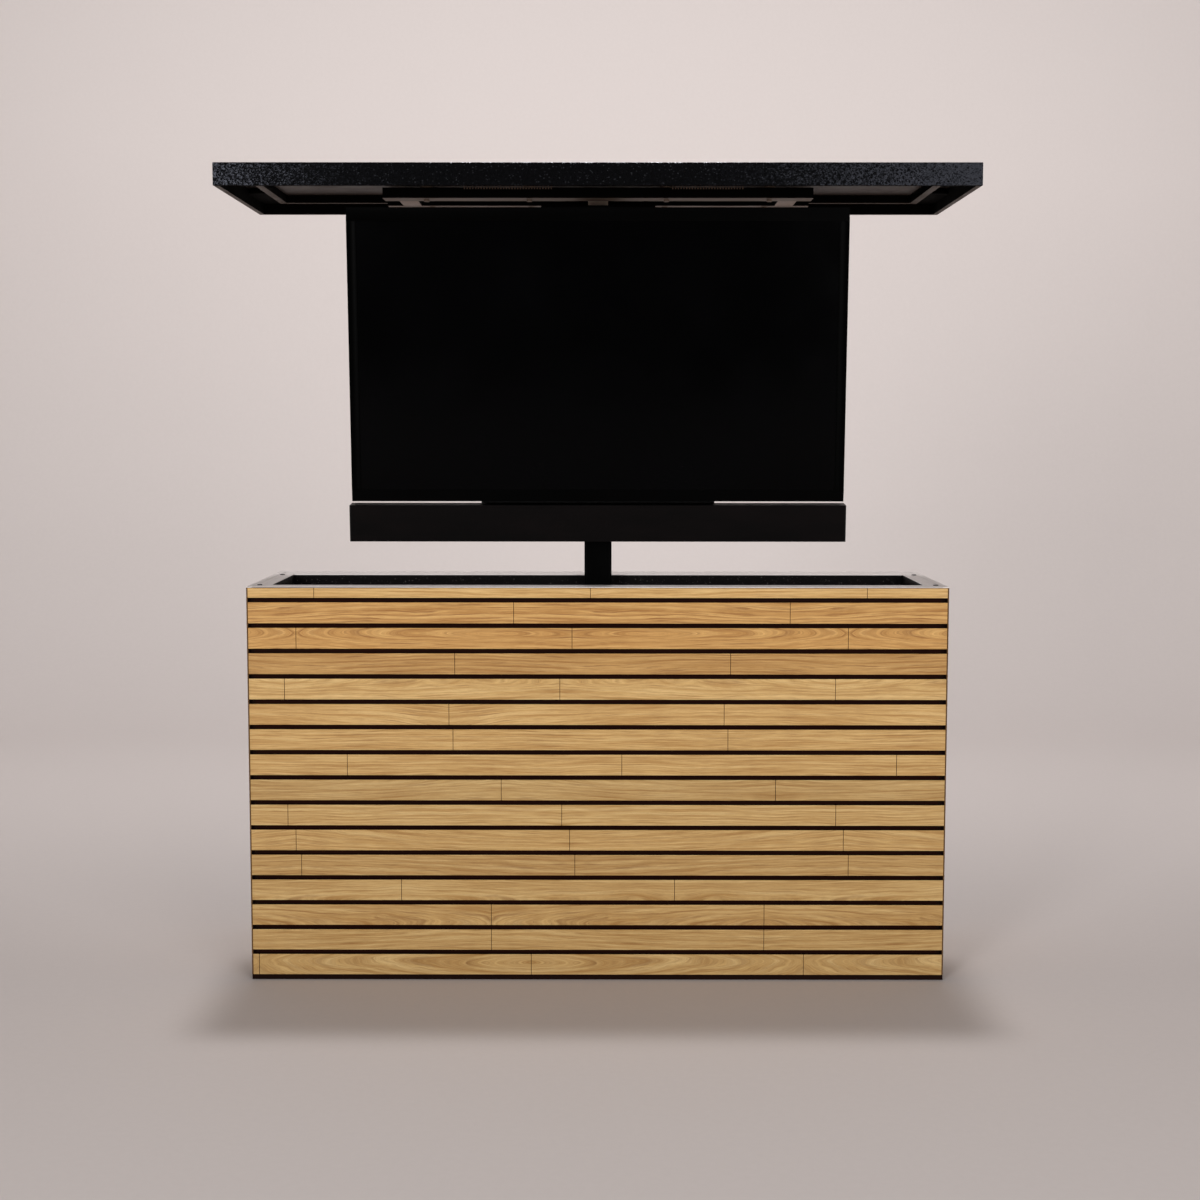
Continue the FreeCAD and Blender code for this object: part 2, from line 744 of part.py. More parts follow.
def glides(name, inner, outer, bottom):
    """Four flat pads round the column between two half widths."""
    z = (bottom, bottom + " + glide_height")
    along = ("-glide_width / 2", "glide_width / 2")
    pads = mirrored_boxes(name + "_side", (inner, outer),
                          ("column_y - glide_width / 2", "column_y + glide_width / 2"), z)
    pads.append(box(name + "_front", along, ("column_y - (%s)" % outer, "column_y - (%s)" % inner), z))
    pads.append(box(name + "_rear", along, ("column_y + %s" % inner, "column_y + %s" % outer), z))
    return pads


def column():
    """Outer, middle and inner tube with the glide pads that guide them."""
    square_tube("outer_tube", "outer_size", "gearbox_top", "outer_top")
    square_tube("middle_tube", "middle_size", "middle_bottom", "middle_top")
    square_tube("inner_tube", "inner_size", "inner_bottom", "plate_bottom")
    node("outer_glides", glides("outer_glide", "middle_half + glide_play", "outer_half - tube_wall",
                                "outer_top - glide_height"))
    low = glides("middle_low_glide", "middle_half", "outer_half - tube_wall - glide_play", "middle_bottom")
    high = glides("middle_high_glide", "inner_half + glide_play", "middle_half - tube_wall",
                  "middle_top - glide_height")
    node("middle_glides", low + high)
    node("inner_glides", glides("inner_glide", "inner_half", "middle_half - tube_wall - glide_play",
                                "inner_bottom"))


def drive():
    """Foot plate, gearbox with motor, drive screw and its nut."""
    plate = padded("foot_plate_blank", "XY_Plane", [("foot_plate_width", "foot_plate_depth")],
                   "foot_plate_thickness")
    round_uprights(plate, "tube_corner")
    place(plate, y="column_y", z="floor_top")
    node("foot_plate", cut("foot_plate", plate, foot_bolt_holes()))

    heads = foot_bolt_rods("foot_bolt_head", "foot_bolt_head", "plate_top", "plate_top + bolt_head_height")
    shanks = foot_bolt_rods("foot_bolt_shank", "foot_bolt_radius", "rail_top - rail_height / 2", "plate_top")
    node("foot_bolts", [joined("foot_bolt", list(pair)) for pair in zip(heads, shanks)])

    housing = box("gearbox_blank", ("-outer_half", "motor_x + motor_radius"),
                  ("column_y - outer_half", "column_y + outer_half"), ("plate_top", "gearbox_top"))
    bearing = rod("bearing_hole", "screw_radius + running_play", ("0", "column_y", "screw_bottom"),
                  "journal_depth")
    gearbox = cut("gearbox", housing, bearing)
    motor = rod("motor_can", "motor_radius", ("motor_x", "column_y", "gearbox_top"), "motor_height")
    node("drive_unit", [gearbox, motor])
    node("drive_screw", rod("drive_screw", "screw_radius", ("0", "column_y", "screw_bottom"),
                            "screw_top - screw_bottom"))
    nut_half = "middle_half - tube_wall"
    block = box("nut_blank", ("-(%s)" % nut_half, nut_half),
                ("column_y - (%s)" % nut_half, "column_y + %s" % nut_half),
                ("middle_bottom", "middle_bottom + nut_height"))
    thread = rod("nut_hole", "screw_radius + running_play", ("0", "column_y", "middle_bottom"), "nut_height")
    node("drive_nut", cut("drive_nut", block, thread))


def column_support():
    """The rail that steadies the outer tube, with its stay block, and the control box on the floor."""
    rail_y = "column_y + outer_half + stay_gap"
    rail_z = ("column_rail_top - column_rail_size", "column_rail_top")
    rail = box("column_rail_bar", ("infill - frame_side", "frame_side - infill"),
               (rail_y, rail_y + " + column_rail_size"), rail_z)
    stay = box("column_stay", ("-stay_width / 2", "stay_width / 2"), ("column_y + outer_half", rail_y),
               rail_z)
    node("column_rail", [rail, stay])
    node("control_box", box("control_box", ("control_x - control_width / 2", "control_x + control_width / 2"),
                            ("control_y - control_depth / 2", "control_y + control_depth / 2"),
                            ("floor_top", "floor_top + control_height")))


# ---------------------------------------------------------------- lid

def lid():
    """Slab with eased edges, aprons, liner, the seal frame that lands on the rim and the gussets."""
    slab = padded("lid_slab", "XY_Plane", [("lid_width", "lid_depth")], "slab_thickness")
    top = slab.Tip.Shape.BoundBox.ZMax
    dress(slab, "Chamfer", "Size", "slab_chamfer", lambda middle, direction: abs(middle.z - top) < 0.01)
    place(slab, z="slab_bottom")
    node("lid_slab", slab)

    apron_z = ("apron_bottom", "slab_bottom")
    aprons = mirrored_boxes("side_apron", ("inside_side", "lid_side"), ("inside_front", "inside_rear"),
                            apron_z)
    aprons.append(box("front_apron", ("-lid_side", "lid_side"), ("lid_front", "inside_front"), apron_z))
    aprons.append(box("rear_apron", ("-lid_side", "lid_side"), ("inside_rear", "lid_rear"), apron_z))
    node("lid_aprons", aprons)

    node("lid_liner", cut("lid_liner", box("liner_blank", ("-inside_side", "inside_side"),
                                           ("inside_front", "inside_rear"), ("liner_bottom", "slab_bottom")),
                          lid_bolt_holes()))

    seal_z = ("seal_bottom", "liner_bottom")
    seal = mirrored_boxes("side_seal", ("seal_side - seal_width", "seal_side"), ("seal_front", "seal_rear"),
                          seal_z)
    inner_x = ("seal_width - seal_side", "seal_side - seal_width")
    seal.append(box("front_seal", inner_x, ("seal_front", "seal_front + seal_width"), seal_z))
    seal.append(box("rear_seal", inner_x, ("seal_rear - seal_width", "seal_rear"), seal_z))
    node("seal_frame", seal)
    node("lid_gussets", lid_gussets())


def lid_gussets():
    """Four thin plates in the lid's corners, between the aprons and the seal frame, one corner rounded."""
    plates = []
    z = ("liner_bottom - gusset_drop - gusset_thickness", "liner_bottom - gusset_drop")
    spans = {"front": ("inside_front", "inside_front + gusset_length"),
             "rear": ("inside_rear - gusset_length", "inside_rear")}
    for name, span in spans.items():
        for blank in mirrored_boxes("gusset_" + name, ("seal_side", "inside_side"), span, z):
            plates.append(rounded_gusset(blank, name == "rear"))
    return plates


def rounded_gusset(blank, at_rear):
    """Round the corner of a gusset that is next to the side apron at its inner end."""
    doc.recompute()
    reach = max(blank.Shape.BoundBox.XMax, -blank.Shape.BoundBox.XMin)
    end = blank.Shape.BoundBox.YMin if at_rear else blank.Shape.BoundBox.YMax
    rounded = doc.addObject("Part::Fillet", "rounded_" + blank.Name)
    rounded.Base = blank
    chosen = []
    for number, edge in enumerate(blank.Shape.Edges, start=1):
        middle = edge.CenterOfMass
        upright = abs(edge.tangentAt(0).z) > 0.99
        if upright and abs(abs(middle.x) - reach) < 0.01 and abs(middle.y - end) < 0.01:
            chosen.append((number, SIZES["gusset_corner"], SIZES["gusset_corner"]))
    rounded.Edges = chosen
    return rounded


def lid_bolt_places():
    """Plan positions of the bolts that hold the lid on the two beams."""
    places = []
    for y in ("front_beam_y", "rear_beam_y"):
        for x in ("lid_bolt_x", "lid_bolt_inner_x"):
            places += [(x, y), ("-" + x, y)]
    return places


def lid_rods(name, radius, low, high):
    """An upright round bar at each lid bolt."""
    return [rod(name, radius, (x, y, low), "(%s) - (%s)" % (high, low)) for x, y in lid_bolt_places()]


def lid_bolt_holes():
    """Round tools through the beams, the spacers and the liner, shared by all of them."""
    if doc.getObject("lid_bolt_holes"):
        return doc.getObject("lid_bolt_holes")
    return group("lid_bolt_holes", lid_rods("lid_bolt_hole", "lid_bolt_radius + bolt_play",
                                            "beam_bottom", "slab_bottom"))


def hollow_beam(name, length, depth, y):
    """A rectangular tube lying along X under the lid, drilled for the lid bolts."""
    inner = ("%s - 2 * beam_wall" % depth, "beam_height - 2 * beam_wall")
    beam = padded(name + "_tube", "YZ_Plane", [(depth, "beam_height"), inner], length, midplane=True)
    place(beam, y=y, z="beam_middle")
    node(name, cut(name, beam, lid_bolt_holes()))


def lid_bracket():
    """Two beams, three arms between them, spacers up to the lid, bolts, and the plate on the column."""
    hollow_beam("lid_front_beam", "front_beam_length", "front_beam_depth", "front_beam_y")
    hollow_beam("lid_rear_beam", "rear_beam_length", "rear_beam_depth", "rear_beam_y")
    arm_y = ("front_beam_rear", "rear_beam_front")
    beam_z = ("beam_bottom", "beam_top")
    arms = [hollow_arm("side_arm_right", "arm_x", "arm_width", arm_y, beam_z)]
    arms.append(hollow_arm("side_arm_left", "-arm_x", "arm_width", arm_y, beam_z))
    arms.append(hollow_arm("centre_arm", "0", "centre_arm_width", arm_y, beam_z))
    node("lid_arms", arms)

    spacers = group("spacer_blanks", lid_rods("spacer", "spacer_radius", "beam_top", "liner_bottom"))
    node("lid_spacers", cut("lid_spacers", spacers, lid_bolt_holes()))
    heads = lid_rods("lid_bolt_head", "lid_bolt_head", "beam_bottom - bolt_head_height", "beam_bottom")
    shanks = lid_rods("lid_bolt_shank", "lid_bolt_radius", "beam_bottom", "slab_bottom")
    node("lid_bolts", [joined("lid_bolt", list(pair)) for pair in zip(heads, shanks)])

    plate_depth = "inner_size + head_plate_rear"
    plate = padded("head_plate", "XY_Plane", [("head_plate_width", plate_depth)], "head_plate_thickness")
    round_uprights(plate, "tube_corner")
    place(plate, y="head_front + (%s) / 2" % plate_depth, z="plate_bottom")
    node("head_plate", plate)


def hollow_arm(name, x, width, y, z):
    """A rectangular tube lying along Y."""
    outer = box(name + "_outer", ("%s - %s / 2" % (x, width), "%s + %s / 2" % (x, width)), y, z)
    inner_x = ("%s - %s / 2 + beam_wall" % (x, width), "%s + %s / 2 - beam_wall" % (x, width))
    inner = box(name + "_inner", inner_x, y, (z[0] + " + beam_wall", z[1] + " - beam_wall"))
    return cut(name, outer, inner)


# ---------------------------------------------------------------- television mount

def hanging_mount():
    """The spine that hangs in front of the column, its block, the tilt base and the tilt pins."""
    hanger = ("-hanger_width / 2", "hanger_width / 2")
    node("hanger_block", box("hanger_block", hanger, ("spine_front + spine_wall", "head_front"),
                             ("hanger_bottom", "spine_top")))
    spine_z = ("spine_top - spine_length", "spine_top")
    outer = box("spine_outer", ("-spine_width / 2", "spine_width / 2"), ("spine_front", "spine_rear"),
                spine_z)
    inner = box("spine_inner", ("spine_wall - spine_width / 2", "spine_width / 2 - spine_wall"),
                ("spine_front + spine_wall", "spine_rear"), spine_z)
    node("tv_spine", cut("tv_spine", outer, inner))

    base_y = ("spine_front - bracket_plate", "spine_front")
    base = [box("tilt_base_plate", ("-base_edge", "base_edge"), base_y,
                ("pivot_z - tilt_base_height / 2", "pivot_z + tilt_base_height / 2"))]
    for side, x in (("right", "base_edge - ear_thickness"), ("left", "-base_edge")):
        base.append(box("base_ear_" + side, (x, x + " + ear_thickness"), ("pivot_y", base_y[0]),
                        ("pivot_z - ear_radius", "pivot_z + ear_radius")))
        base.append(rod("base_ear_end_" + side, "ear_radius", (x, "pivot_y", "pivot_z"), "ear_thickness",
                        "x"))
    holes = rod("base_pin_holes", "pivot_radius + running_play", ("-base_edge", "pivot_y", "pivot_z"),
                "2 * base_edge", "x")
    node("tilt_base", cut("tilt_base", joined("tilt_base_body", base), holes))

    pins = []
    shank = "base_edge - yoke_edge + ear_thickness"
    for side, start, head in (("right", "yoke_edge - ear_thickness", "base_edge"),
                              ("left", "-base_edge", "-base_edge - ear_thickness")):
        pins.append(joined("tilt_pin_" + side, [
            rod("pin_shank_" + side, "pivot_radius", (start, "pivot_y", "pivot_z"), shank, "x"),
            rod("pin_head_" + side, "pivot_head", (head, "pivot_y", "pivot_z"), "ear_thickness", "x")]))
    node("tilt_pins", pins)


def tilting_mount():
    """The yoke, cross bars and rails that carry the television, drawn about the tilt axis."""
    yoke = [box("yoke_plate", ("-yoke_edge", "yoke_edge"), ("crossbar_back", "yoke_back"),
                ("-yoke_height / 2", "yoke_height / 2"))]
    for side, x in (("right", "yoke_edge - ear_thickness"), ("left", "-yoke_edge")):
        yoke.append(box("yoke_ear_" + side, (x, x + " + ear_thickness"), ("yoke_back", "0"),
                        ("-ear_radius", "ear_radius")))
        yoke.append(rod("yoke_ear_end_" + side, "ear_radius", (x, "0", "0"), "ear_thickness", "x"))
    holes = rod("yoke_pin_holes", "pivot_radius + running_play", ("-yoke_edge", "0", "0"),
                "2 * yoke_edge", "x")
    leaned("tilt_yoke", cut("yoke", joined("yoke_body", yoke), holes))

    rail_x = ("(vesa_pitch - vesa_rail_width) / 2", "(vesa_pitch + vesa_rail_width) / 2")
    rails = group("vesa_rails", mirrored_boxes("vesa_rail", rail_x, ("tv_back", "rail_back"),
                                               ("rail_bottom", "rail_end")))
    frame = [cut("drilled_rails", rails, vesa_holes())]
    for low in ("-crossbar_offset - crossbar_height / 2", "crossbar_offset - crossbar_height / 2"):
        frame.append(box("crossbar", ("-crossbar_length / 2", "crossbar_length / 2"),
                         ("rail_back", "crossbar_back"), (low, low + " + crossbar_height")))
    leaned("vesa_frame", frame)
    heads = vesa_rods("vesa_bolt_head", "vesa_bolt_head", "rail_back", "rail_back + bolt_head_height")
    shanks = vesa_rods("vesa_bolt_shank", "vesa_bolt_radius", "tv_back - vesa_bolt_bite", "rail_back")
    leaned("vesa_bolts", [joined("vesa_bolt", list(pair)) for pair in zip(heads, shanks)])


def vesa_rods(name, radius, low, high):
    """A round bar along Y at each corner of the television's mounting square."""
    rods = []
    for x in ("-vesa_pitch / 2", "vesa_pitch / 2"):
        for z in ("tv_rise - vesa_pitch / 2", "tv_rise + vesa_pitch / 2"):
            rods.append(rod(name, radius, (x, low, z), "(%s) - (%s)" % (high, low), "y"))
    return rods


def vesa_holes():
    """Round tools for the four bolts, shared by the rails, the housing and the standoffs."""
    if doc.getObject("vesa_holes"):
        return doc.getObject("vesa_holes")
    return group("vesa_holes", vesa_rods("vesa_hole", "vesa_bolt_radius + running_play",
                                         "tv_back - vesa_bolt_bite", "rail_back"))


def television():
    """Housing, bezel, glass, display module and standoffs, drawn about the tilt axis."""
    wide = ("-tv_side", "tv_side")
    tall = ("tv_bottom", "tv_top")
    blank = box("housing_blank", wide, ("bezel_back", "tv_back"), tall)
    hollow = box("housing_hollow", ("tv_wall - tv_side", "tv_side - tv_wall"),
                 ("bezel_back", "tv_back - tv_wall"), ("tv_bottom + tv_wall", "tv_top - tv_wall"))
    vents = []
    vent_count = int((SIZES["tv_width"] - 2 * SIZES["tv_vent_pitch"]) / SIZES["tv_vent_pitch"])
    for number in range(vent_count):
        x = "(%g) * tv_vent_pitch - tv_vent_length / 2" % (number - (vent_count - 1) / 2)
        for row in range(TV_VENT_ROWS):
            z = "tv_top - tv_vent_drop - %d * tv_vent_row_pitch" % row
            vents.append(box("tv_vent", (x, x + " + tv_vent_length"), ("tv_back - tv_wall", "tv_back"),
                             (z, z + " + tv_vent_height")))
    housing = cut("housing", blank, group("housing_cuts", [hollow, vesa_holes()] + vents))
    standoffs = group("standoff_blanks", vesa_rods("standoff", "standoff_radius", "display_back",
                                                   "tv_back - tv_wall"))
    leaned("tv_housing", [housing, cut("standoffs", standoffs, vesa_holes())])

    bezel_y = ("tv_front", "bezel_back")
    bezel = mirrored_boxes("bezel_side", ("screen_side", "tv_side"), bezel_y, ("screen_bottom", "screen_top"))
    bezel.append(box("bezel_upper", wide, bezel_y, ("screen_top", "tv_top")))
    bezel.append(box("bezel_lower", wide, bezel_y, ("tv_bottom", "screen_bottom")))
    leaned("tv_bezel", bezel)

    screen_x = ("-screen_side", "screen_side")
    screen_z = ("screen_bottom", "screen_top")
    leaned("tv_glass", box("glass", screen_x, ("glass_front", "glass_back"), screen_z))
    leaned("tv_display", box("display", screen_x, ("glass_back", "display_back"), screen_z))


def soundbar():
    """Case, front grille, end caps and the bracket plate with two arms that hangs it from the rails."""
    core_x = ("bar_wall - bar_side", "bar_side - bar_wall")
    height = ("bar_bottom", "bar_top")
    shell = box("bar_blank", core_x, ("bar_front + bar_wall", "bar_back"), height)
    hollow = box("bar_hollow", core_x, ("bar_front + bar_wall", "bar_back - bar_wall"),
                 ("bar_bottom + bar_wall", "bar_top - bar_wall"))
    ends = mirrored_boxes("bar_end", ("bar_side - bar_wall", "bar_side"), ("bar_front", "bar_back"), height)
    leaned("soundbar_case", [cut("bar_case", shell, hollow)] + ends)
    leaned("soundbar_grille", box("bar_grille", core_x, ("bar_front", "bar_front + bar_wall"), height))

    plate = box("bar_plate", ("-bar_bracket_width / 2", "bar_bracket_width / 2"),
                ("rail_back", "rail_back + bar_bracket_thickness"),
                ("bar_bracket_bottom", "rail_bottom + bar_bracket_lap"))
    boss_x = ("bar_boss_x - bar_boss_width / 2", "bar_boss_x + bar_boss_width / 2")
    bosses = mirrored_boxes("bar_boss", boss_x, ("bar_back", "rail_back"),
                            ("bar_bracket_bottom", "bar_bracket_bottom + bar_boss_height"))
    leaned("soundbar_bracket", joined("bar_bracket", [plate] + bosses))


def check_and_write():
    """Recompute, stop on any failed object, then write each sub-part to its own file."""
    doc.recompute()
    for thing in doc.Objects:
        if "Invalid" in thing.State or "Error" in thing.State:
            raise RuntimeError("%s failed: %s" % (thing.Label, thing.State))
    os.makedirs("parts", exist_ok=True)
    for thing in nodes:
        shape = thing.Shape
        if shape.isNull() or not shape.isValid() or not shape.Solids:
            raise RuntimeError("%s has no valid solid" % thing.Label)
        shape.exportStep(os.path.join("parts", thing.Label + ".step"))
    print("%d sub-parts, %d solids" % (len(nodes), sum(len(thing.Shape.Solids) for thing in nodes)))


make_sheet()
cabinet_frame()
cabinet_boards()
front_slats()
side_slats()
edge_trims()
rear_wall()
access_door()
column()
drive()
column_support()
lid()
lid_bracket()
hanging_mount()
tilting_mount()
television()
soundbar()
check_and_write()
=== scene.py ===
"""Looks of the TV lift cabinet: oak boards, softened edges, small fittings, materials and studio.

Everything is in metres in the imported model's frame: +X to the right seen from the front, +Y to the rear
and +Z up.  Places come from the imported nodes' boxes, so that each piece sits on what carries it.
"""
import json
import math
import random

import bmesh
import bpy
from mathutils import Matrix, Vector


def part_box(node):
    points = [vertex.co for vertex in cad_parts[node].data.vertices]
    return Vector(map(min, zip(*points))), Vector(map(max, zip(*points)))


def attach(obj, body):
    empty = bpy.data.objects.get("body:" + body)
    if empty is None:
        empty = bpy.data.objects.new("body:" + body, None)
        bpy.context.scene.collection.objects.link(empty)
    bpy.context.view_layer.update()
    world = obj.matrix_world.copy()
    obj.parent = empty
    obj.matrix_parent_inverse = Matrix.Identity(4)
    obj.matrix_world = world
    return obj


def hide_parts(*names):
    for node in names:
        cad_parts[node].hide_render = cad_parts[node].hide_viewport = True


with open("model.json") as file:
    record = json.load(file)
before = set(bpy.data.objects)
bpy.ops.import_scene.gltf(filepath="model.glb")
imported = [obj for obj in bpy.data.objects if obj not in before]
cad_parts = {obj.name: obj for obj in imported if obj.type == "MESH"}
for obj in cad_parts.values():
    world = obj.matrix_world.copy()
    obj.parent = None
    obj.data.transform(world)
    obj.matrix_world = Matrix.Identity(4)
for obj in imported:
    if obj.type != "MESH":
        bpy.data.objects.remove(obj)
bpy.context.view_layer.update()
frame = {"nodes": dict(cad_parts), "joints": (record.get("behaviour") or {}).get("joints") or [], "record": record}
NODES = frame["nodes"]
SLOT_OF = {part["node"]: part["material_slot"] for part in frame["record"]["subparts"]}
TILT_PIVOT = next(joint for joint in frame["joints"] if joint["name"] == "tv_tilt")["pos_m"]
# How far the television leans forward on its mount.
TV_LEAN = math.radians(4.8)

MM = 0.001


# ---------------------------------------------------------------- materials

def colour(red, green, blue):
    """A linear colour from the 0 to 255 numbers of a display."""
    channels = [value / 255 for value in (red, green, blue)]
    linear = [c / 12.92 if c <= 0.04045 else ((c + 0.055) / 1.055) ** 2.4 for c in channels]
    return (*linear, 1.0)


# The stone's facets give back a slightly blue light, and the lid's painted metal a slightly brown one.
COOL_SHINE = colour(230, 234, 255)
WARM_SHINE = colour(255, 228, 212)


class Recipe:
    """A new node material, with short calls for the nodes that the recipes share."""

    def __init__(self, name, roughness=0.5, metallic=0.0, specular=0.5):
        self.material = bpy.data.materials.new(name)
        self.material.use_nodes = True
        self.tree = self.material.node_tree
        self.tree.nodes.clear()
        self.shader = self.add("ShaderNodeBsdfPrincipled")
        output = self.add("ShaderNodeOutputMaterial")
        self.tree.links.new(self.shader.outputs["BSDF"], output.inputs["Surface"])
        self.put("Roughness", roughness)
        self.put("Metallic", metallic)
        self.put("Specular IOR Level", specular)
        self.normal = None

    def add(self, kind, **settings):
        """A node with its settings."""
        made = self.tree.nodes.new(kind)
        for name, value in settings.items():
            setattr(made, name, value)
        return made

    def feed(self, socket, value):
        """Link an output to a socket, or set the socket to a plain value."""
        if isinstance(value, bpy.types.NodeSocket):
            self.tree.links.new(value, socket)
        else:
            socket.default_value = value

    def put(self, name, value):
        """Set or link one of the shader's own sockets."""
        self.feed(self.shader.inputs[name], value)

    def place(self):
        """Coordinates fixed to the piece, in metres."""
        return self.add("ShaderNodeTexCoord").outputs["Object"]

    def attribute(self, name, output="Vector"):
        """A vector that the mesh carries, or a plain number by the output Fac."""
        return self.add("ShaderNodeAttribute", attribute_name=name).outputs[output]

    def stretched(self, vector, scale, shift=(0, 0, 0)):
        """A vector scaled and shifted along each axis."""
        mapping = self.add("ShaderNodeMapping")
        self.feed(mapping.inputs["Vector"], vector)
        mapping.inputs["Scale"].default_value = scale
        mapping.inputs["Location"].default_value = shift
        return mapping.outputs["Vector"]

    def noise(self, vector, scale, detail=3.0, roughness=0.5, distortion=0.0):
        """Fractal noise from 0 to 1."""
        texture = self.add("ShaderNodeTexNoise")
        self.feed(texture.inputs["Vector"], vector)
        texture.inputs["Scale"].default_value = scale
        texture.inputs["Detail"].default_value = detail
        texture.inputs["Roughness"].default_value = roughness
        texture.inputs["Distortion"].default_value = distortion
        return texture.outputs["Fac"]

    def cells(self, vector, scale, output="Distance"):
        """Voronoi cells: the distance to a cell's middle, or its random colour."""
        texture = self.add("ShaderNodeTexVoronoi")
        self.feed(texture.inputs["Vector"], vector)
        texture.inputs["Scale"].default_value = scale
        return texture.outputs[output]

    def parts(self, colours):
        """The red, green and blue parts of a colour, as outputs of those names."""
        split = self.add("ShaderNodeSeparateColor")
        self.feed(split.inputs["Color"], colours)
        return split.outputs

    def maths(self, operation, first, second=0.0):
        """One arithmetic step."""
        step = self.add("ShaderNodeMath", operation=operation)
        self.feed(step.inputs[0], first)
        self.feed(step.inputs[1], second)
        return step.outputs[0]

    def remap(self, value, low, high, to_low=0.0, to_high=1.0):
        """A value between two limits carried over to two others, clamped."""
        step = self.add("ShaderNodeMapRange")
        self.feed(step.inputs["Value"], value)
        limits = {"From Min": low, "From Max": high, "To Min": to_low, "To Max": to_high}
        for name, number in limits.items():
            step.inputs[name].default_value = number
        return step.outputs["Result"]

    def ramp(self, factor, *stops):
        """Colours at places from 0 to 1."""
        made = self.add("ShaderNodeValToRGB")
        self.feed(made.inputs["Fac"], factor)
        elements = made.color_ramp.elements
        while len(elements) < len(stops):
            elements.new(1.0)
        for element, (position, value) in zip(elements, stops):
            element.position = position
            element.color = value
        return made.outputs["Color"]

    def mix(self, factor, first, second, blend="MIX"):
        """Two colours mixed."""
        made = self.add("ShaderNodeMix", data_type="RGBA", blend_type=blend)
        self.feed(made.inputs["Factor"], factor)
        self.feed(made.inputs["A"], first)
        self.feed(made.inputs["B"], second)
        return made.outputs["Result"]

    def facets(self, colours, lean):
        """Tip the surface by each cell's random colour, as far as lean (the tangent of an angle)."""
        tip = self.add("ShaderNodeVectorMath", operation="MULTIPLY_ADD")
        self.feed(tip.inputs[0], colours)
        tip.inputs[1].default_value = (2 * lean, 2 * lean, 2 * lean)
        tip.inputs[2].default_value = (-lean, -lean, -lean)
        tipped = self.add("ShaderNodeVectorMath", operation="ADD")
        self.feed(tipped.inputs[0], self.add("ShaderNodeNewGeometry").outputs["Normal"])
        self.feed(tipped.inputs[1], tip.outputs["Vector"])
        unit = self.add("ShaderNodeVectorMath", operation="NORMALIZE")
        self.feed(unit.inputs[0], tipped.outputs["Vector"])
        self.normal = unit.outputs["Vector"]
        self.put("Normal", self.normal)

    def relief(self, height, distance, strength):
        """Raise the surface by a height; a second call adds to the first."""
        bump = self.add("ShaderNodeBump")
        bump.inputs["Strength"].default_value = strength
        bump.inputs["Distance"].default_value = distance
        self.feed(bump.inputs["Height"], height)
        if self.normal is not None:
            self.tree.links.new(self.normal, bump.inputs["Normal"])
        self.normal = bump.outputs["Normal"]
        self.put("Normal", self.normal)


PALE_OAK = colour(236, 201, 138)
MID_OAK = colour(218, 179, 115)
WARM_OAK = colour(190, 146, 83)
DARK_OAK = colour(138, 92, 42)
PORE_BROWN = colour(112, 76, 42)
# What the colours of the warmest boards are multiplied by, and the painted shade that darkens the lower rows and
# the rows of darker wood.
WARM_TINT = colour(243, 226, 202)
PAINTED_SHADE_AND_DARK_WOOD = colour(222, 221, 219)

RING_WIDTH = 6.8 * MM
PITH_SWAY = 28 * MM


def fibre_run(recipe, grain):
    """Coordinates that follow the fibres, and the distance out from the board's swaying pith line."""
    run = recipe.add("ShaderNodeSeparateXYZ")
    recipe.feed(run.inputs[0], grain)
    sway = recipe.noise(recipe.stretched(grain, (2.5, 12.0, 12.0)), 1.0, 3.0, 0.5)
    length = recipe.add("ShaderNodeVectorMath", operation="LENGTH")
    recipe.feed(length.inputs[0], recipe.stretched(grain, (0.0, 1.0, 1.0)))
    reach = recipe.maths("ADD", length.outputs["Value"], recipe.maths("MULTIPLY", sway, PITH_SWAY))
    flow = recipe.add("ShaderNodeCombineXYZ")
    recipe.feed(flow.inputs[0], run.outputs[0])
    recipe.feed(flow.inputs[1], reach)
    return flow.outputs[0], reach


def ring_share(recipe, grain, reach, tone):
    """How much each ring's late wood darkens, which changes along a board and grows with its tone."""
    cloud = recipe.noise(recipe.stretched(grain, (3.2, 12.0, 12.0), (5.0, 2.0, 1.0)), 1.0, 2.0)
    ring = recipe.maths("FRACT", recipe.maths("DIVIDE", reach, RING_WIDTH))
    late = recipe.ramp(ring, (0.0, (0, 0, 0, 1)), (0.55, (0.1, 0.1, 0.1, 1)), (0.90, (1, 1, 1, 1)),
                       (1.0, (0, 0, 0, 1)))
    share = recipe.maths("MULTIPLY", late, recipe.remap(cloud, 0.38, 0.62, 0.10, 0.32))
    return recipe.maths("MULTIPLY", share, recipe.remap(tone, 0.0, 1.0, 0.7, 1.6))


